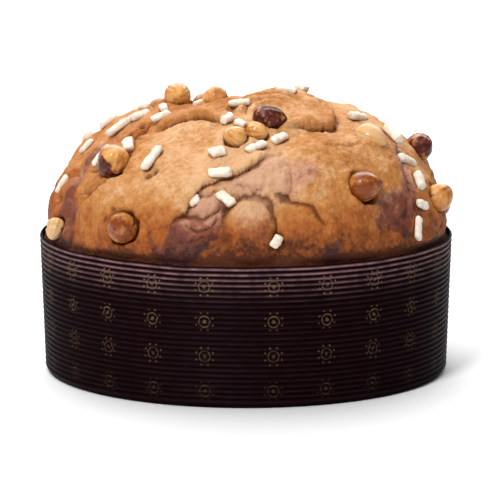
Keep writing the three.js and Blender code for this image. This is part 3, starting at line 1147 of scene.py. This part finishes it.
@dataclass(frozen=True)
class CrustFinish:
    """Baked crust: golden on top and browner below, partly by browning and partly by painted shade,
    marbled with cocoa dough, matt and pored.
    """

    pale: Colour = (0.655, 0.375, 0.19)
    golden: Colour = (0.49, 0.205, 0.056)
    brown: Colour = (0.36, 0.1, 0.022)
    # The darkest crust, reached at the rim: partly browning and partly painted shade.
    dark: Colour = (0.085, 0.023, 0.009)
    cocoa_milky: Colour = (0.55, 0.305, 0.185)
    cocoa_pale: Colour = (0.49, 0.24, 0.15)
    cocoa: Colour = (0.235, 0.068, 0.036)
    cocoa_dark: Colour = (0.046, 0.011, 0.008)
    # Painted shade: the dark colour laid in fold grooves, knot creases, pits, pores, the gaps round
    # the nuts and the grains' beds.
    groove: Colour = (0.15, 0.042, 0.012)
    speckles: Cloud = Cloud(2.0, 4, 0.6)
    mottles: Cloud = Cloud(7, 5, 0.65)
    wrinkles: Cloud = Cloud(3.0, 4, 0.6)
    grain: Cloud = Cloud(0.6, 3, 0.6)
    speckled: float = 0.55
    mottled: float = 0.85
    cocoa_mottled: float = 1.1
    edge_uneven: float = 0.45
    edge: Limits = (0.12, 0.85)
    # Painted shade: where the groove attribute starts to darken the crust, and the most that it does.
    groove_shade_from: Limits = (0.15, 1.0)
    groove_shade_share: Limits = (0.0, 0.88)
    smoother: Limits = (0.2, 0.8)
    rough: Limits = (0.58, 0.38)
    gloss: Limits = (0.1, 0.16)
    wrinkle_depth: float = 1.4
    grain_depth: float = 0.2

    def material(self) -> bpy.types.Material:
        """Mix the dough's colours by the crust's attributes, with painted shade in grooves and gaps,
        and fine speckles and wrinkles.
        """
        paint = Paint("baked crust")
        speckle = paint.signed(self.speckles)
        mottle = paint.signed(self.mottles)
        bake, cocoa = paint.attribute("bake"), paint.attribute("cocoa")
        uneven = paint.math("MULTIPLY", mottle, self.mottled)
        uneven = paint.math("MULTIPLY_ADD", speckle, self.speckled, uneven)
        # Darker towards the rim by the baked attribute: partly browning and partly painted shade.
        dough = paint.ramp(
            paint.math("ADD", bake, uneven),
            (0.0, self.pale),
            (0.34, self.golden),
            (0.66, self.brown),
            (1.0, self.dark),
        )
        cocoa_dough = paint.ramp(
            paint.math("MULTIPLY_ADD", mottle, self.cocoa_mottled, bake),
            (0.0, self.cocoa_milky),
            (0.28, self.cocoa_pale),
            (0.52, self.cocoa),
            (0.9, self.cocoa_dark),
        )
        border = paint.math("MULTIPLY_ADD", uneven, self.edge_uneven, cocoa)
        colour = paint.mix(paint.step(border, *self.edge), dough, cocoa_dough)
        # Painted shade: the crust is mixed towards the dark groove colour by the groove attribute.
        sunk = paint.step(paint.attribute("groove"), *self.groove_shade_from, self.groove_shade_share)
        colour = paint.mix(sunk, colour, self.groove)
        normal = paint.bump(paint.noise(self.wrinkles), self.wrinkle_depth)
        normal = paint.bump(paint.noise(self.grain), self.grain_depth, normal)
        rough = paint.step(cocoa, *self.smoother, self.rough)
        gloss = paint.step(cocoa, *self.smoother, self.gloss)
        surface = {"Base Color": colour, "Roughness": rough, "Normal": normal}
        return paint.finish(surface | {"Specular IOR Level": gloss})


@dataclass(frozen=True)
class SugarFinish:
    """Baked sugar: chalky white grains with a rough broken face."""

    white: Colour = (0.86, 0.78, 0.67)
    shade: Colour = (0.74, 0.6, 0.43)
    shading: Cloud = Cloud(2.2, 4, 0.65)
    shaded: Limits = (0.42, 0.72)
    grit: Cloud = Cloud(1.1, 4, 0.7)
    grit_depth: float = 0.45
    rough: float = 0.6
    gloss: float = 0.25

    def material(self) -> bpy.types.Material:
        """Warm white with faint cloudy shade and a sandy bump."""
        paint = Paint("pearl sugar")
        shaded = paint.step(paint.noise(self.shading), *self.shaded)
        colour = paint.mix(shaded, self.white, self.shade)
        normal = paint.bump(paint.noise(self.grit), self.grit_depth)
        surface = {"Base Color": colour, "Roughness": self.rough, "Normal": normal}
        return paint.finish(surface | {"Specular IOR Level": self.gloss})


@dataclass(frozen=True)
class NutFinish:
    """Roasted hazelnut: pale to amber flesh under patches of dark papery skin, under a glaze."""

    look: NutLook
    blond: Colour = (0.66, 0.4, 0.19)
    honey: Colour = (0.7, 0.36, 0.11)
    golden: Colour = (0.54, 0.215, 0.052)
    amber: Colour = (0.22, 0.048, 0.007)
    skin: Colour = (0.065, 0.014, 0.01)
    dusty: Colour = (0.24, 0.055, 0.03)
    clouds: Cloud = Cloud(6.5, 5, 0.62)
    clouded: float = 2.2
    skin_edge: Limits = (0.4, 0.6)
    dust: Cloud = Cloud(2.4, 4)
    dusted: Limits = (0.42, 0.75)
    ridge_depth: float = 0.3
    grain: Cloud = Cloud(1.6, 4, 0.6)
    grain_depth: float = 0.3
    skin_depth: float = 0.2
    gloss: float = 0.15
    glaze: Limits = (0.3, 0.08)
    glaze_rough: float = 0.08

    def material(self) -> bpy.types.Material:
        """Mix flesh and skin by the nut's own attribute, with fine lengthwise ridges."""
        roast = self.look.value
        paint = Paint(f"hazelnut {self.look.name.lower()}")
        flesh = paint.ramp(
            paint.math("MULTIPLY_ADD", paint.signed(self.clouds), self.clouded, roast.depth),
            (0.0, self.blond),
            (0.2, self.honey),
            (0.5, self.golden),
            (1.0, self.amber),
        )
        covered = paint.step(paint.attribute("skin"), *self.skin_edge)
        dusted = paint.step(paint.noise(self.dust), *self.dusted)
        colour = paint.mix(covered, flesh, paint.mix(dusted, self.skin, self.dusty))
        normal = paint.bump(paint.attribute("ridges"), self.ridge_depth)
        normal = paint.bump(paint.noise(self.grain), self.grain_depth, normal)
        normal = paint.bump(covered, self.skin_depth, normal)
        surface = {"Base Color": colour, "Roughness": roast.rough, "Normal": normal}
        surface |= {
            "Specular IOR Level": self.gloss,
            "Coat Weight": paint.step(covered, 0, 1, self.glaze),
            "Coat Roughness": self.glaze_rough,
        }
        return paint.finish(surface)


@dataclass(frozen=True)
class PaperFinish:
    """Dark brown waxed paper with small rosettes printed in dull gold, and painted highlights on its
    rib crests near the rim.
    """

    paper: Colour = (0.0062, 0.0017, 0.0026)
    # Painted highlight: the pale pinkish colour laid on the rib crests near the rim, for the light
    # that they catch.
    rib_highlight: Colour = (0.36, 0.19, 0.2)
    gold: Colour = (0.2, 0.13, 0.07)
    tile: tuple[float, float] = (27.2, 17.2)
    ring: float = 2.7
    dots: int = 8
    dot_ring: float = 4.5
    dot_edge: Limits = (0.36, 0.16)
    ring_edge: Limits = (0.34, 0.2)
    heart_edge: Limits = (1.0, 0.75)
    # Painted shade: the gold print dims towards the foot, by height.
    gold_shade_by_height: tuple[float, float] = (0.65, 0.08)
    worn_gold: Cloud = Cloud(2, 3)
    gold_left: tuple[Limits, Limits] = ((0.3, 0.6), (0.5, 1.0))
    # Noise that makes the painted rib highlight patchy.
    highlight_patches: Cloud = Cloud(7, 4, 0.6)
    highlight_patchiness: tuple[Limits, Limits] = ((0.3, 0.7), (0.35, 1.0))
    grain: Cloud = Cloud(0.5, 4, 0.7)
    grain_depth: float = 0.05
    rough: tuple[Limits, Limits] = ((0.1, 0.6), (0.4, 0.45))
    gloss: float = 0.01

    def motif(self, paint: Paint) -> bpy.types.NodeSocket:
        """Draw a rosette in each tile of the paper's UV map.

        A tile's own place is the fraction of the map over the tile, less a half. The ring is
        where the distance from the tile's middle is near the ring's radius, and the dots are
        where the angle, folded into one share of the turn, is near their middle.

        Args:
            paint: the node tree to draw it in.

        Returns:
            A share that is 1 on the gold.
        """
        split = paint.node("ShaderNodeSeparateXYZ")
        paint.feed(split.inputs[0], paint.node("ShaderNodeUVMap", uv_map="measured").outputs[0])
        local = []
        for axis, side in enumerate(self.tile):
            tiled = paint.math("FRACT", paint.math("DIVIDE", split.outputs[axis], side))
            local.append(paint.math("MULTIPLY", paint.math("SUBTRACT", tiled, 0.5), side))
        x, y = local
        radius = paint.math("SQRT", paint.squares(x, y))
        turn = paint.math("MULTIPLY", paint.math("ARCTAN2", y, x), self.dots / FULL_TURN)
        part = paint.math("SUBTRACT", paint.math("FRACT", turn), 0.5)
        angle = paint.math("MULTIPLY", part, FULL_TURN / self.dots)
        ahead = paint.math(
            "SUBTRACT", paint.math("MULTIPLY", radius, paint.math("COSINE", angle)), self.dot_ring
        )
        aside = paint.math("MULTIPLY", radius, paint.math("SINE", angle))
        dots = paint.step(paint.squares(ahead, aside), *self.dot_edge)
        off_ring = paint.math("ABSOLUTE", paint.math("SUBTRACT", radius, self.ring))
        ring = paint.step(off_ring, *self.ring_edge)
        heart = paint.step(radius, *self.heart_edge)
        return paint.math("MAXIMUM", paint.math("MAXIMUM", dots, ring), heart)

    def material(self) -> bpy.types.Material:
        """Near-black paper with a painted highlight on the rib crests near the rim, and dull gold
        whose painted shade dims it towards the foot.
        """
        paint = Paint("waxed case paper")
        # Painted highlight: crests near the rim are mixed towards a pale colour, patchy by noise.
        (low, high), shares = self.highlight_patchiness
        patchy = paint.step(paint.noise(self.highlight_patches), low, high, shares)
        painted_highlight = paint.math("MULTIPLY", paint.attribute("painted_highlight"), patchy)
        colour = paint.mix(painted_highlight, self.paper, self.rib_highlight)
        # Painted shade: the gold's share falls with height, dimmer towards the foot.
        gold_lit_share = paint.math("MULTIPLY_ADD", paint.attribute("up"), *self.gold_shade_by_height)
        (low, high), shares = self.gold_left
        left = paint.step(paint.noise(self.worn_gold), low, high, shares)
        print_share = paint.math("MULTIPLY", self.motif(paint), paint.math("MULTIPLY", gold_lit_share, left))
        colour = paint.mix(print_share, colour, self.gold)
        (low, high), shares = self.rough
        rough = paint.step(print_share, low, high, shares)
        normal = paint.bump(paint.noise(self.grain), self.grain_depth)
        surface = {"Base Color": colour, "Roughness": rough, "Normal": normal}
        return paint.finish(surface | {"Specular IOR Level": self.gloss})


@dataclass(frozen=True)
class FloorFinish:
    """A plain pale floor."""

    pale: Colour = (0.83, 0.83, 0.83)
    shade: float = 0.985
    clouds: Cloud = Cloud(400, 2)
    rough: float = 0.7
    gloss: float = 0.2

    def material(self) -> bpy.types.Material:
        """Matt near-white with the faintest unevenness."""
        paint = Paint("pale floor")
        shaded = tuple(self.shade * part for part in self.pale)
        colour = paint.mix(paint.noise(self.clouds), self.pale, shaded)
        surface = {"Base Color": colour, "Roughness": self.rough}
        return paint.finish(surface | {"Specular IOR Level": self.gloss})


def dress(piece: bpy.types.Object, material: bpy.types.Material, slot: str, *nodes: str) -> None:
    """Give a piece its material, hang it on the root, and hide the solids that it stands for.

    Args:
        piece: the new object.
        material: its finish.
        slot: not used.
        nodes: the solids that it stands for.
    """
    piece.data.materials.append(material)
    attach(piece, "root")
    if nodes:
        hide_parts(*nodes)
    LOG.info("%s: %d faces", piece.name, len(piece.data.polygons))


@dataclass
class Loaf:
    """The loaf: a crusted dome over a plain side that fills the case."""

    form: CrustForm
    nuts: list[Nut]
    beds: list[Bed]
    columns: int = 680
    dome_rows: int = 140
    front_crowding: float = 0.055
    bottom: float = 1.2
    side_radii: tuple[float, float] = (100.2, 102.4)
    shoulder: float = 68.0
    lowest_climb: float = 0.4
    least_pocket: float = 2.0
    gap_lumps: float = 6.0
    # Shares of painted shade in the gaps round the nuts and, together with caramel, round the grains.
    gap_shade: float = 0.9
    bed_caramel_and_shade: float = 0.7
    side_bake: float = 0.9

    def pockets(self) -> list[Pocket]:
        """The pockets of the nuts, as wide as their solids are where the crust meets them."""
        made = []
        for number, nut in enumerate(self.nuts, 1):
            low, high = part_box(nut_node(number))
            middle = np.array((low + high) / 2) / MM
            seat = self.form.seat(nut.bearing, nut.climb)
            above = float((middle - seat.point) @ seat.out)
            section = (nut.width / 2) ** 2 - above**2
            radius = float(np.sqrt(max(section, self.least_pocket**2)))
            made.append(Pocket(middle, seat.out, radius))
        return made

    def crust(self) -> Form:
        """Build the loaf's closed surface.

        The rows run from the middle of the bottom up the side, a cone, and over the dome, where
        each point of the plain ellipsoid is shaped by the crust's form and then by the pockets
        of the nuts and the beds of the grains. The columns crowd to the front by a sine wave,
        for sharper cracks there.

        Returns:
            The grid, with how baked and shaded, how much cocoa and how much painted shade from
            grooves, gaps and beds each point has.
        """
        share = np.arange(self.columns) / self.columns
        bearing = 360 * (share - self.front_crowding * np.sin(FULL_TURN * share))
        climbs = np.linspace(self.lowest_climb, 90, self.dome_rows)
        plain = self.form.dome.point(bearing[None, :], climbs[:, None]).reshape(-1, 3)
        out = self.form.dome.outward(plain)
        shaped, groove = self.form.shape(plain)
        fine, sunk = self.form.skin(plain)
        shaped = shaped + fine[:, None] * out
        # Painted shade in the pits and pores.
        groove = np.maximum(groove, sunk)
        gap_noise = self.form.noise.at(plain, self.gap_lumps)
        for pocket in self.pockets():
            height, down = pocket.height(shaped, gap_noise)
            shaped = shaped + height[:, None] * out
            # Painted shade down in the gap round each nut.
            groove = np.maximum(groove, self.gap_shade * down)
        for bed in self.beds:
            height, share = bed.height(shaped)
            shaped = shaped + height[:, None] * out
            # A darker edge round each grain: partly caramel and partly painted shade.
            groove = np.maximum(groove, self.bed_caramel_and_shade * share)
        dome = shaped.reshape(self.dome_rows, self.columns, 3)
        dome[-1] = dome[-1].mean(axis=0)
        turn = np.radians(bearing)
        ring = np.stack([np.sin(turn), -np.cos(turn), np.zeros_like(turn)], axis=1)
        low, high = self.side_radii
        sides = [(0.0, self.bottom), (low, self.bottom), (high, self.shoulder)]
        side = np.stack([ring * radius + (0, 0, z) for radius, z in sides])
        spare = np.zeros(side.shape[0] * self.columns)
        form = Form("loaf_crust", np.vstack([side, dome]))
        # How browned, with painted shade towards the rim and at the ball's foot.
        form.value("bake", np.concatenate([spare + self.side_bake, self.form.bake(plain)]))
        form.value("cocoa", np.concatenate([spare, self.form.cocoa(plain, out)]))
        form.value("groove", np.concatenate([spare, groove]))
        return form


def nut_node(number: int) -> str:
    """The name of a hazelnut's node."""
    return f"hazelnut_{number:02d}"


@dataclass
class Hazelnut:
    """One hazelnut: round, drawn to a point at its tip, with a rough flat scar at its foot."""

    nut: Nut
    number: int
    form: CrustForm
    columns: int = 56
    rows: int = 36
    point: float = 0.12
    flat: float = 0.06
    nib: tuple[float, float] = (0.035, 0.22)
    ridges: int = 11
    ridge_bend: float = 1.3
    ridge_waves: int = 3
    ridge_rise: float = 0.006
    waist: tuple[float, float] = (0.04, 0.09)
    lumps: Unevenness = Unevenness(0.025, 6, 2)
    lump_shift: float = 40.0
    skin_share: float = 0.9
    skin_patches: Unevenness = Unevenness(0.42, 5, 3)
    skin_shift: float = -25.0
    noise: Noise = field(default_factory=lambda: Noise(23))

    def surface(self) -> Form:
        """Build the nut's closed surface.

        The radius is half a sine of the way from foot to tip, fuller towards the tip, and the
        height is a cosine that is flattened at the foot. Faint lengthwise ridges and slow lumps
        are added, a small nib at the tip, and on a split nut a groove round its middle.

        Returns:
            The grid, with the share of skin and the ridges at each point.
        """
        down = np.pi * np.arange(self.rows + 1) / self.rows
        round_ = FULL_TURN * np.arange(self.columns) / self.columns
        turn, way = np.meshgrid(round_, down)
        radius = 0.5 * np.sin(way) * (1 + self.point * np.cos(way))
        height = -0.5 * np.cos(way) * (1 - self.flat * np.cos(way))
        nib, nib_width = self.nib
        height = height + nib * bell(np.pi - way, nib_width)
        bend = self.ridge_bend * np.sin(self.ridge_waves * turn + self.number)
        ridge = np.cos(self.ridges * turn + bend) * np.sin(way) ** 2
        radius = radius * (1 + self.ridge_rise * ridge)
        waist, waist_width = self.waist
        radius = radius * (1 - self.nut.split * bell(height - waist, waist_width))
        local = np.stack([radius * np.cos(turn), radius * np.sin(turn), height], axis=-1)
        local = local * (self.nut.width, self.nut.width, self.nut.length)
        flat = local.reshape(-1, 3)
        lumps = self.lumps.read(self.noise, flat + self.lump_shift * self.number)
        swollen = (flat * (1 + lumps[:, None])).reshape(local.shape)
        swollen[0] = swollen[0].mean(axis=0)
        swollen[-1] = swollen[-1].mean(axis=0)
        placed = self.stood(swollen)
        form = Form(f"{nut_node(self.number)}_roasted", placed)
        form.value("ridges", 0.5 + 0.5 * ridge)
        form.value("skin", self.skin(flat, placed.reshape(-1, 3)))
        return form

    def stood(self, local: Array) -> Array:
        """The nut's points turned to its tip and moved to the middle of its solid."""
        low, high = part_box(nut_node(self.number))
        seat = self.form.dome.seat(self.nut.bearing, self.nut.climb)
        tip = Vector(seat.towards(self.nut.tip, self.nut.lift))
        turned = np.array(Vector((0, 0, 1)).rotation_difference(tip).to_matrix())
        placed = local @ turned.T
        flat = placed.reshape(-1, 3)
        middle = (flat.min(axis=0) + flat.max(axis=0)) / 2
        return placed - middle + np.array((low + high) / 2) / MM

    def skin(self, local: Array, placed: Array) -> Array:
        """Work out how surely skin covers a place.

        Args:
            local: the nut's points before it was turned, where the noise is read.
            placed: the same points on the loaf, for the side where the skin gathers.

        Returns:
            A share for each point, by the look's own share, its lean and patches of noise.
        """
        roast = self.nut.look.value
        patchy = self.skin_patches.read(self.noise, local + self.skin_shift * self.number)
        seat = self.form.dome.seat(self.nut.bearing, self.nut.climb)
        side = seat.towards(self.nut.tip - roast.turned, self.nut.lift / 2)
        lean = roast.lean * (placed - placed.mean(axis=0)) @ side / self.nut.length
        return np.clip(0.5 + self.skin_share * (roast.skin - 0.5) + patchy + lean, 0, 1)


@dataclass
class Sugar:
    """The sugar grains on the crust: those that the front shows, and the others."""

    form: CrustForm
    nuts: list[Nut]
    front: tuple[Grain, ...] = (
        Grain(-76.5, 50, 14, 4, 105),
        Grain(-76, 57.5, 11, 4, 73),
        Grain(-55.5, 60, 10.5, 3.8, 78),
        Grain(-70, 64.5, 9, 3.6, -12),
        Grain(-50.5, 43.5, 9.5, 5, -42),
        Grain(-62, 37.5, 13, 3, 98),
        Grain(-34.5, 39, 14.5, 4, 82),
        Grain(-10.5, 43.5, 8, 4.6, 20),
        Grain(-8.5, 35, 11, 4.2, 5),
        Grain(-15.5, 24.8, 5.5, 3.8, 40),
        Grain(-6, 25.5, 10, 4.4, -40),
        Grain(-10, 60, 6.5, 4, 55),
        Grain(-3, 58.5, 6.5, 3.6, -39),
        Grain(4, 47, 11.5, 3.8, 34),
        Grain(15.5, 53, 10.5, 4, 34),
        Grain(-5.5, 71.5, 11, 3.4, 18),
        Grain(60, 77, 10.5, 3.4, -56),
        Grain(-70, 75, 5, 3.2, 100),
        Grain(-78, 22, 11, 3.6, 77),
        Grain(-89, 37.5, 9, 3.2, 130),
        Grain(8.5, 9.5, 6.5, 4.2, 55),
    )
    spread: Spread = Spread(26, (22, 268), (0.1, 0.98), 0.7548777)
    lengths: Limits = (6, 13)
    widths: Limits = (3.2, 4.8)
    heading_turn: float = 67.0
    nut_room: float = 5.0
    fullness: float = 0.55
    bluntness: int = 14
    squareness: float = 0.22
    flatness: float = 0.8
    sunk: float = 0.16
    slant: float = 0.14
    bend: float = 0.04
    bend_middle: float = 0.4
    dents: Unevenness = Unevenness(0.2, 2.4, 2)
    dent_shift: float = 13.0
    rows: int = 14
    columns: int = 12
    noise: Noise = field(default_factory=lambda: Noise(5))

    def grains(self) -> list[Grain]:
        """All the grains, without those of the rule that would crowd a nut."""
        middles = []
        for number in range(1, len(self.nuts) + 1):
            low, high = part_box(nut_node(number))
            middles.append(np.array((low + high) / 2) / MM)
        made = list(self.front)
        for place, bearing, climb in self.spread.places():
            point = self.form.seat(bearing, climb).point
            room = [
                np.linalg.norm(point - middle) - nut.width / 2
                for middle, nut in zip(middles, self.nuts)
            ]
            if min(room) <= self.nut_room:
                continue
            length = between(self.lengths, scatter(place, Draw.GRAIN_LENGTH))
            width = between(self.widths, scatter(place, Draw.GRAIN_WIDTH))
            made.append(Grain(bearing, climb, length, width, place * self.heading_turn))
        return made

    def beds(self) -> list[Bed]:
        """The grains' beds in the crust."""
        made = []
        for grain in self.grains():
            seat = self.form.seat(grain.bearing, grain.climb)
            half = max(grain.length - grain.width, 0) / 2
            made.append(Bed(seat.point, seat.towards(grain.heading), half, grain.width / 2))
        return made

    def rod(self, grain: Grain, number: int) -> Array:
        """Build a grain.

        Along the rod t runs from -1 to 1. The section is a rounded square whose radius falls to
        the ends as the cube root of 1 - |t|^bluntness, so that they are blunt. The ends slant and
        the rod bends a little, and noise dents it.

        Args:
            grain: its place and size.
            number: its place in the row, which seeds its dents.

        Returns:
            The grid of its points.
        """
        t = -np.cos(np.pi * np.arange(self.rows) / (self.rows - 1))[:, None]
        turn = (FULL_TURN * np.arange(self.columns) / self.columns)[None, :]
        end = np.clip(1 - np.abs(t) ** self.bluntness, 0, 1)
        radius = self.fullness * grain.width * end ** (1 / 3)
        square = (np.cos(turn) ** 4 + np.sin(turn) ** 4) ** -self.squareness
        across = radius * square * np.cos(turn)
        rise = self.flatness * radius * square * np.sin(turn)
        slant = self.slant * grain.width * t**2 * np.cos(turn + number)
        ahead = grain.length / 2 * t + slant
        way = between((-1, 1), scatter(number, Draw.GRAIN_BEND))
        bend = self.bend * grain.length * way * (t**2 - self.bend_middle)
        seat = self.form.seat(grain.bearing, grain.climb)
        course = seat.towards(grain.heading)
        side = np.cross(course, seat.out)
        lift = grain.width * (0.5 * self.flatness - self.sunk)
        local = np.stack([across + bend, ahead, rise + lift], axis=-1).reshape(-1, 3)
        dents = 1 + self.dents.read(self.noise, local + self.dent_shift * number)[:, None]
        local = local * (dents * (1, 0, 1) + (0, 1, 0))
        placed = seat.point + local @ np.stack([side, course, seat.out])
        placed = placed.reshape(self.rows, self.columns, 3)
        placed[0] = placed[0].mean(axis=0)
        placed[-1] = placed[-1].mean(axis=0)
        return placed

    def piece(self) -> bpy.types.Object:
        """All the grains as one joined mesh."""
        rods = [self.rod(grain, k) for k, grain in enumerate(self.grains())]
        made = [Form(f"rod_{k}", rod).object() for k, rod in enumerate(rods)]
        with bpy.context.temp_override(active_object=made[0], selected_editable_objects=made):
            bpy.ops.object.join()
        made[0].name = "sugar_grains"
        return made[0]


@dataclass
class PaperCase:
    """The case: a strip of ribbed paper round a flat foot, lapped and glued at the back."""

    height: float = 70.0
    foot_radius: float = 102.5
    rim_radius: float = 105.0
    foot_round: float = 1.6
    foot_turns: tuple[float, ...] = (0, 30, 60)
    paper: float = 0.6
    floor: float = 0.8
    ribs: int = 26
    rib_depth: float = 0.9
    rib_sharpness: float = 0.8
    rows_in_rib: int = 6
    ribs_inside: int = 4
    foot_ring: float = 60.0
    inset: float = 0.2
    out_of_round: Unevenness = Unevenness(0.35, 45, 2)
    rim_wave: Unevenness = Unevenness(0.3, 30, 2, 200)
    rim_wave_power: int = 3
    highlight_from: float = 0.66
    highlight_power: float = 1.6
    highlight_crest_power: int = 4
    least_highlight: float = 0.035
    columns: int = 384
    lap_bearing: float = 168.0
    lap_width: float = 7.0
    lap_crest: float = -1.0
    lap_rise: float = 0.3
    noise: Noise = field(default_factory=lambda: Noise(41))

    def radius(self, z: Array) -> Array:
        """The radius over the ribs' crests: a straight taper from foot to rim."""
        return self.foot_radius + (self.rim_radius - self.foot_radius) * z / self.height

    def ribbed(self, z: Array) -> tuple[Array, Array]:
        """The wall's radius, a cosine wave under the crests, and how near a crest it is."""
        pitch = (self.height - self.foot_round) / self.ribs
        crest = 0.5 - 0.5 * np.cos(FULL_TURN * (z - self.foot_round) / pitch)
        return self.radius(z) - self.rib_depth * (1 - crest**self.rib_sharpness), crest

    def profile(self) -> tuple[Array, Array, Array]:
        """Draw the wall's section.

        It runs from the middle of the foot out and up the ribbed outside, over the cut edge,
        down the inside, whose upper ribs follow the outside, and back to the middle.

        Returns:
            The radii, the heights and how near a crest each point is.
        """
        outside = np.linspace(self.foot_round, self.height, self.ribs * self.rows_in_rib + 1)
        wall, crest = self.ribbed(outside)
        foot_turn = np.radians(self.foot_turns)
        corner = self.foot_radius - self.rib_depth - self.foot_round
        foot_radii = corner + self.foot_round * np.sin(foot_turn)
        foot_heights = self.foot_round * (1 - np.cos(foot_turn))
        depth = self.ribs_inside * (self.height - self.foot_round) / self.ribs
        inside = np.linspace(self.height, self.height - depth, self.ribs_inside * self.rows_in_rib + 1)
        inner, _ = self.ribbed(inside)
        floor_radius = float(self.radius(np.array(self.floor))) - self.rib_depth - self.paper
        under, over = [0, self.foot_ring], [floor_radius, self.foot_ring, 0]
        radii = np.concatenate([under, foot_radii, wall, inner - self.paper, over])
        level = [self.floor] * len(over)
        heights = np.concatenate([np.zeros(len(under)), foot_heights, outside, inside, level])
        before = np.zeros(len(under) + len(foot_radii))
        crests = np.concatenate([before, crest, np.zeros(len(inside) + len(over))])
        return radii, heights, crests

    def surface(self) -> Form:
        """Turn the section round the middle.

        Slow noise makes the wall a little out of round and its rim a little wavy, and at the
        back the strip's end lies over its start, a smooth step out by the lap's rise.

        Returns:
            The grid, with the crests as an attribute and a UV map in millimetres.
        """
        radii, heights, crests = self.profile()
        bearing = np.arange(self.columns) * 360 / self.columns
        turn = np.radians(bearing)
        ring = np.stack([np.sin(turn), -np.cos(turn)], axis=1)
        up = (heights / self.height)[:, None]
        circle = np.column_stack([ring * self.rim_radius, np.zeros(self.columns)])
        uneven = self.out_of_round.read(self.noise, circle)
        wave = self.rim_wave.read(self.noise, circle)
        lap = smooth(self.lap_width / 2, self.lap_crest, np.abs(bearing - self.lap_bearing))
        on_wall = (radii > self.foot_ring)[:, None]
        spread = radii[:, None] + on_wall * (up * uneven + self.lap_rise * lap - self.inset)
        lifted = heights[:, None] + on_wall * up**self.rim_wave_power * wave
        rows = np.stack([spread * ring[:, 0], spread * ring[:, 1], lifted + 0 * spread], axis=-1)
        form = Form("ribbed_case", rows)
        # Painted highlight on the crests: strong near the rim, fading to faint lines lower down.
        near_rim = smooth(self.highlight_from, 1.0, up) ** self.highlight_power
        near_crest = crests[:, None] ** self.highlight_crest_power
        painted_highlight = near_crest * between((self.least_highlight, 1), near_rim)
        form.value("painted_highlight", painted_highlight + 0 * spread)
        form.value("up", up + 0 * spread)
        across = np.arange(self.columns + 1) * FULL_TURN * self.rim_radius / self.columns
        form.measured(across, heights)
        return form


@dataclass(frozen=True)
class Lamp:
    """A square soft light in metres and watts, and where it looks."""

    name: str
    place: Place
    target: Place
    side: float
    watts: float


@dataclass
class Studio:
    """A pale floor, soft light from above and in front, and the photograph's view."""

    eye: Place = (0.0, -1768.0, 376.0)
    aim: Place = (0.0, 0.0, 62.0)
    lens: float = 258.0
    sensor: float = 36.0
    far: float = 50.0
    floor_side: float = 14.0
    lamps: tuple[Lamp, ...] = (
        Lamp("key", (-0.5, -1.2, 1.35), (0.0, 0.0, 0.062), 0.42, 25.0),
        Lamp("overhead", (-0.2, 0.35, 1.7), (0.0, 0.0, 0.062), 1.4, 18.0),
        Lamp("far floor", (0.0, 1.9, 1.3), (0.0, 2.1, 0.0), 2.4, 84.0),
    )
    sky: float = 0.24

    def floor(self) -> None:
        """A plane far larger than the view."""
        half = self.floor_side / 2
        corners = [(-half, -half, 0), (half, -half, 0), (half, half, 0), (-half, half, 0)]
        mesh = bpy.data.meshes.new("floor")
        mesh.from_pydata(corners, [], [(0, 1, 2, 3)])
        floor = bpy.data.objects.new("floor", mesh)
        bpy.context.scene.collection.objects.link(floor)
        mesh.materials.append(FloorFinish().material())

    def stand(self, made: bpy.types.Object, place: Vector, target: Vector) -> None:
        """Put a lamp or the camera at its place, looking at its target."""
        made.location = place
        made.rotation_euler = (target - place).to_track_quat("-Z", "Y").to_euler()
        bpy.context.scene.collection.objects.link(made)

    def lights(self) -> None:
        """A key light high in front on the left, a wide one overhead, a far one, and a sky."""
        for lamp in self.lamps:
            light = bpy.data.lights.new(lamp.name, "AREA")
            light.size = lamp.side
            light.energy = lamp.watts
            made = bpy.data.objects.new(lamp.name, light)
            self.stand(made, Vector(lamp.place), Vector(lamp.target))
        world = bpy.data.worlds.new("pale sky")
        world.use_nodes = True
        sky = world.node_tree.nodes["Background"].inputs
        sky["Color"].default_value = (1, 1, 1, 1)
        sky["Strength"].default_value = self.sky
        bpy.context.scene.world = world

    def camera(self) -> None:
        """The photograph's place and angle, with a lens that fills the frame with the loaf."""
        data = bpy.data.cameras.new("camera")
        data.lens = self.lens
        data.sensor_width = self.sensor
        data.clip_end = self.far
        camera = bpy.data.objects.new("camera", data)
        self.stand(camera, Vector(self.eye) * MM, Vector(self.aim) * MM)
        bpy.context.scene.camera = camera


def main() -> None:
    """Build the studio and every piece, in order."""
    logging.basicConfig(level=logging.INFO, format="%(name)s %(message)s")
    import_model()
    bpy.context.scene.view_settings.view_transform = "Standard"
    studio = Studio()
    studio.camera()
    studio.floor()
    studio.lights()
    form = CrustForm()
    nuts = Nuts().all()
    dress(PaperCase().surface().object(), PaperFinish().material(), "case_paper", "paper_case")
    sugar = Sugar(form, nuts)
    loaf = Loaf(form, nuts, sugar.beds())
    dress(loaf.crust().object(), CrustFinish().material(), "crust", "loaf")
    dress(sugar.piece(), SugarFinish().material(), "sugar")
    finishes = {look: NutFinish(look).material() for look in NutLook}
    for number, nut in enumerate(nuts, 1):
        piece = Hazelnut(nut, number, form).surface().object()
        dress(piece, finishes[nut.look], "hazelnut", nut_node(number))


if __name__ == "__main__":
    main()
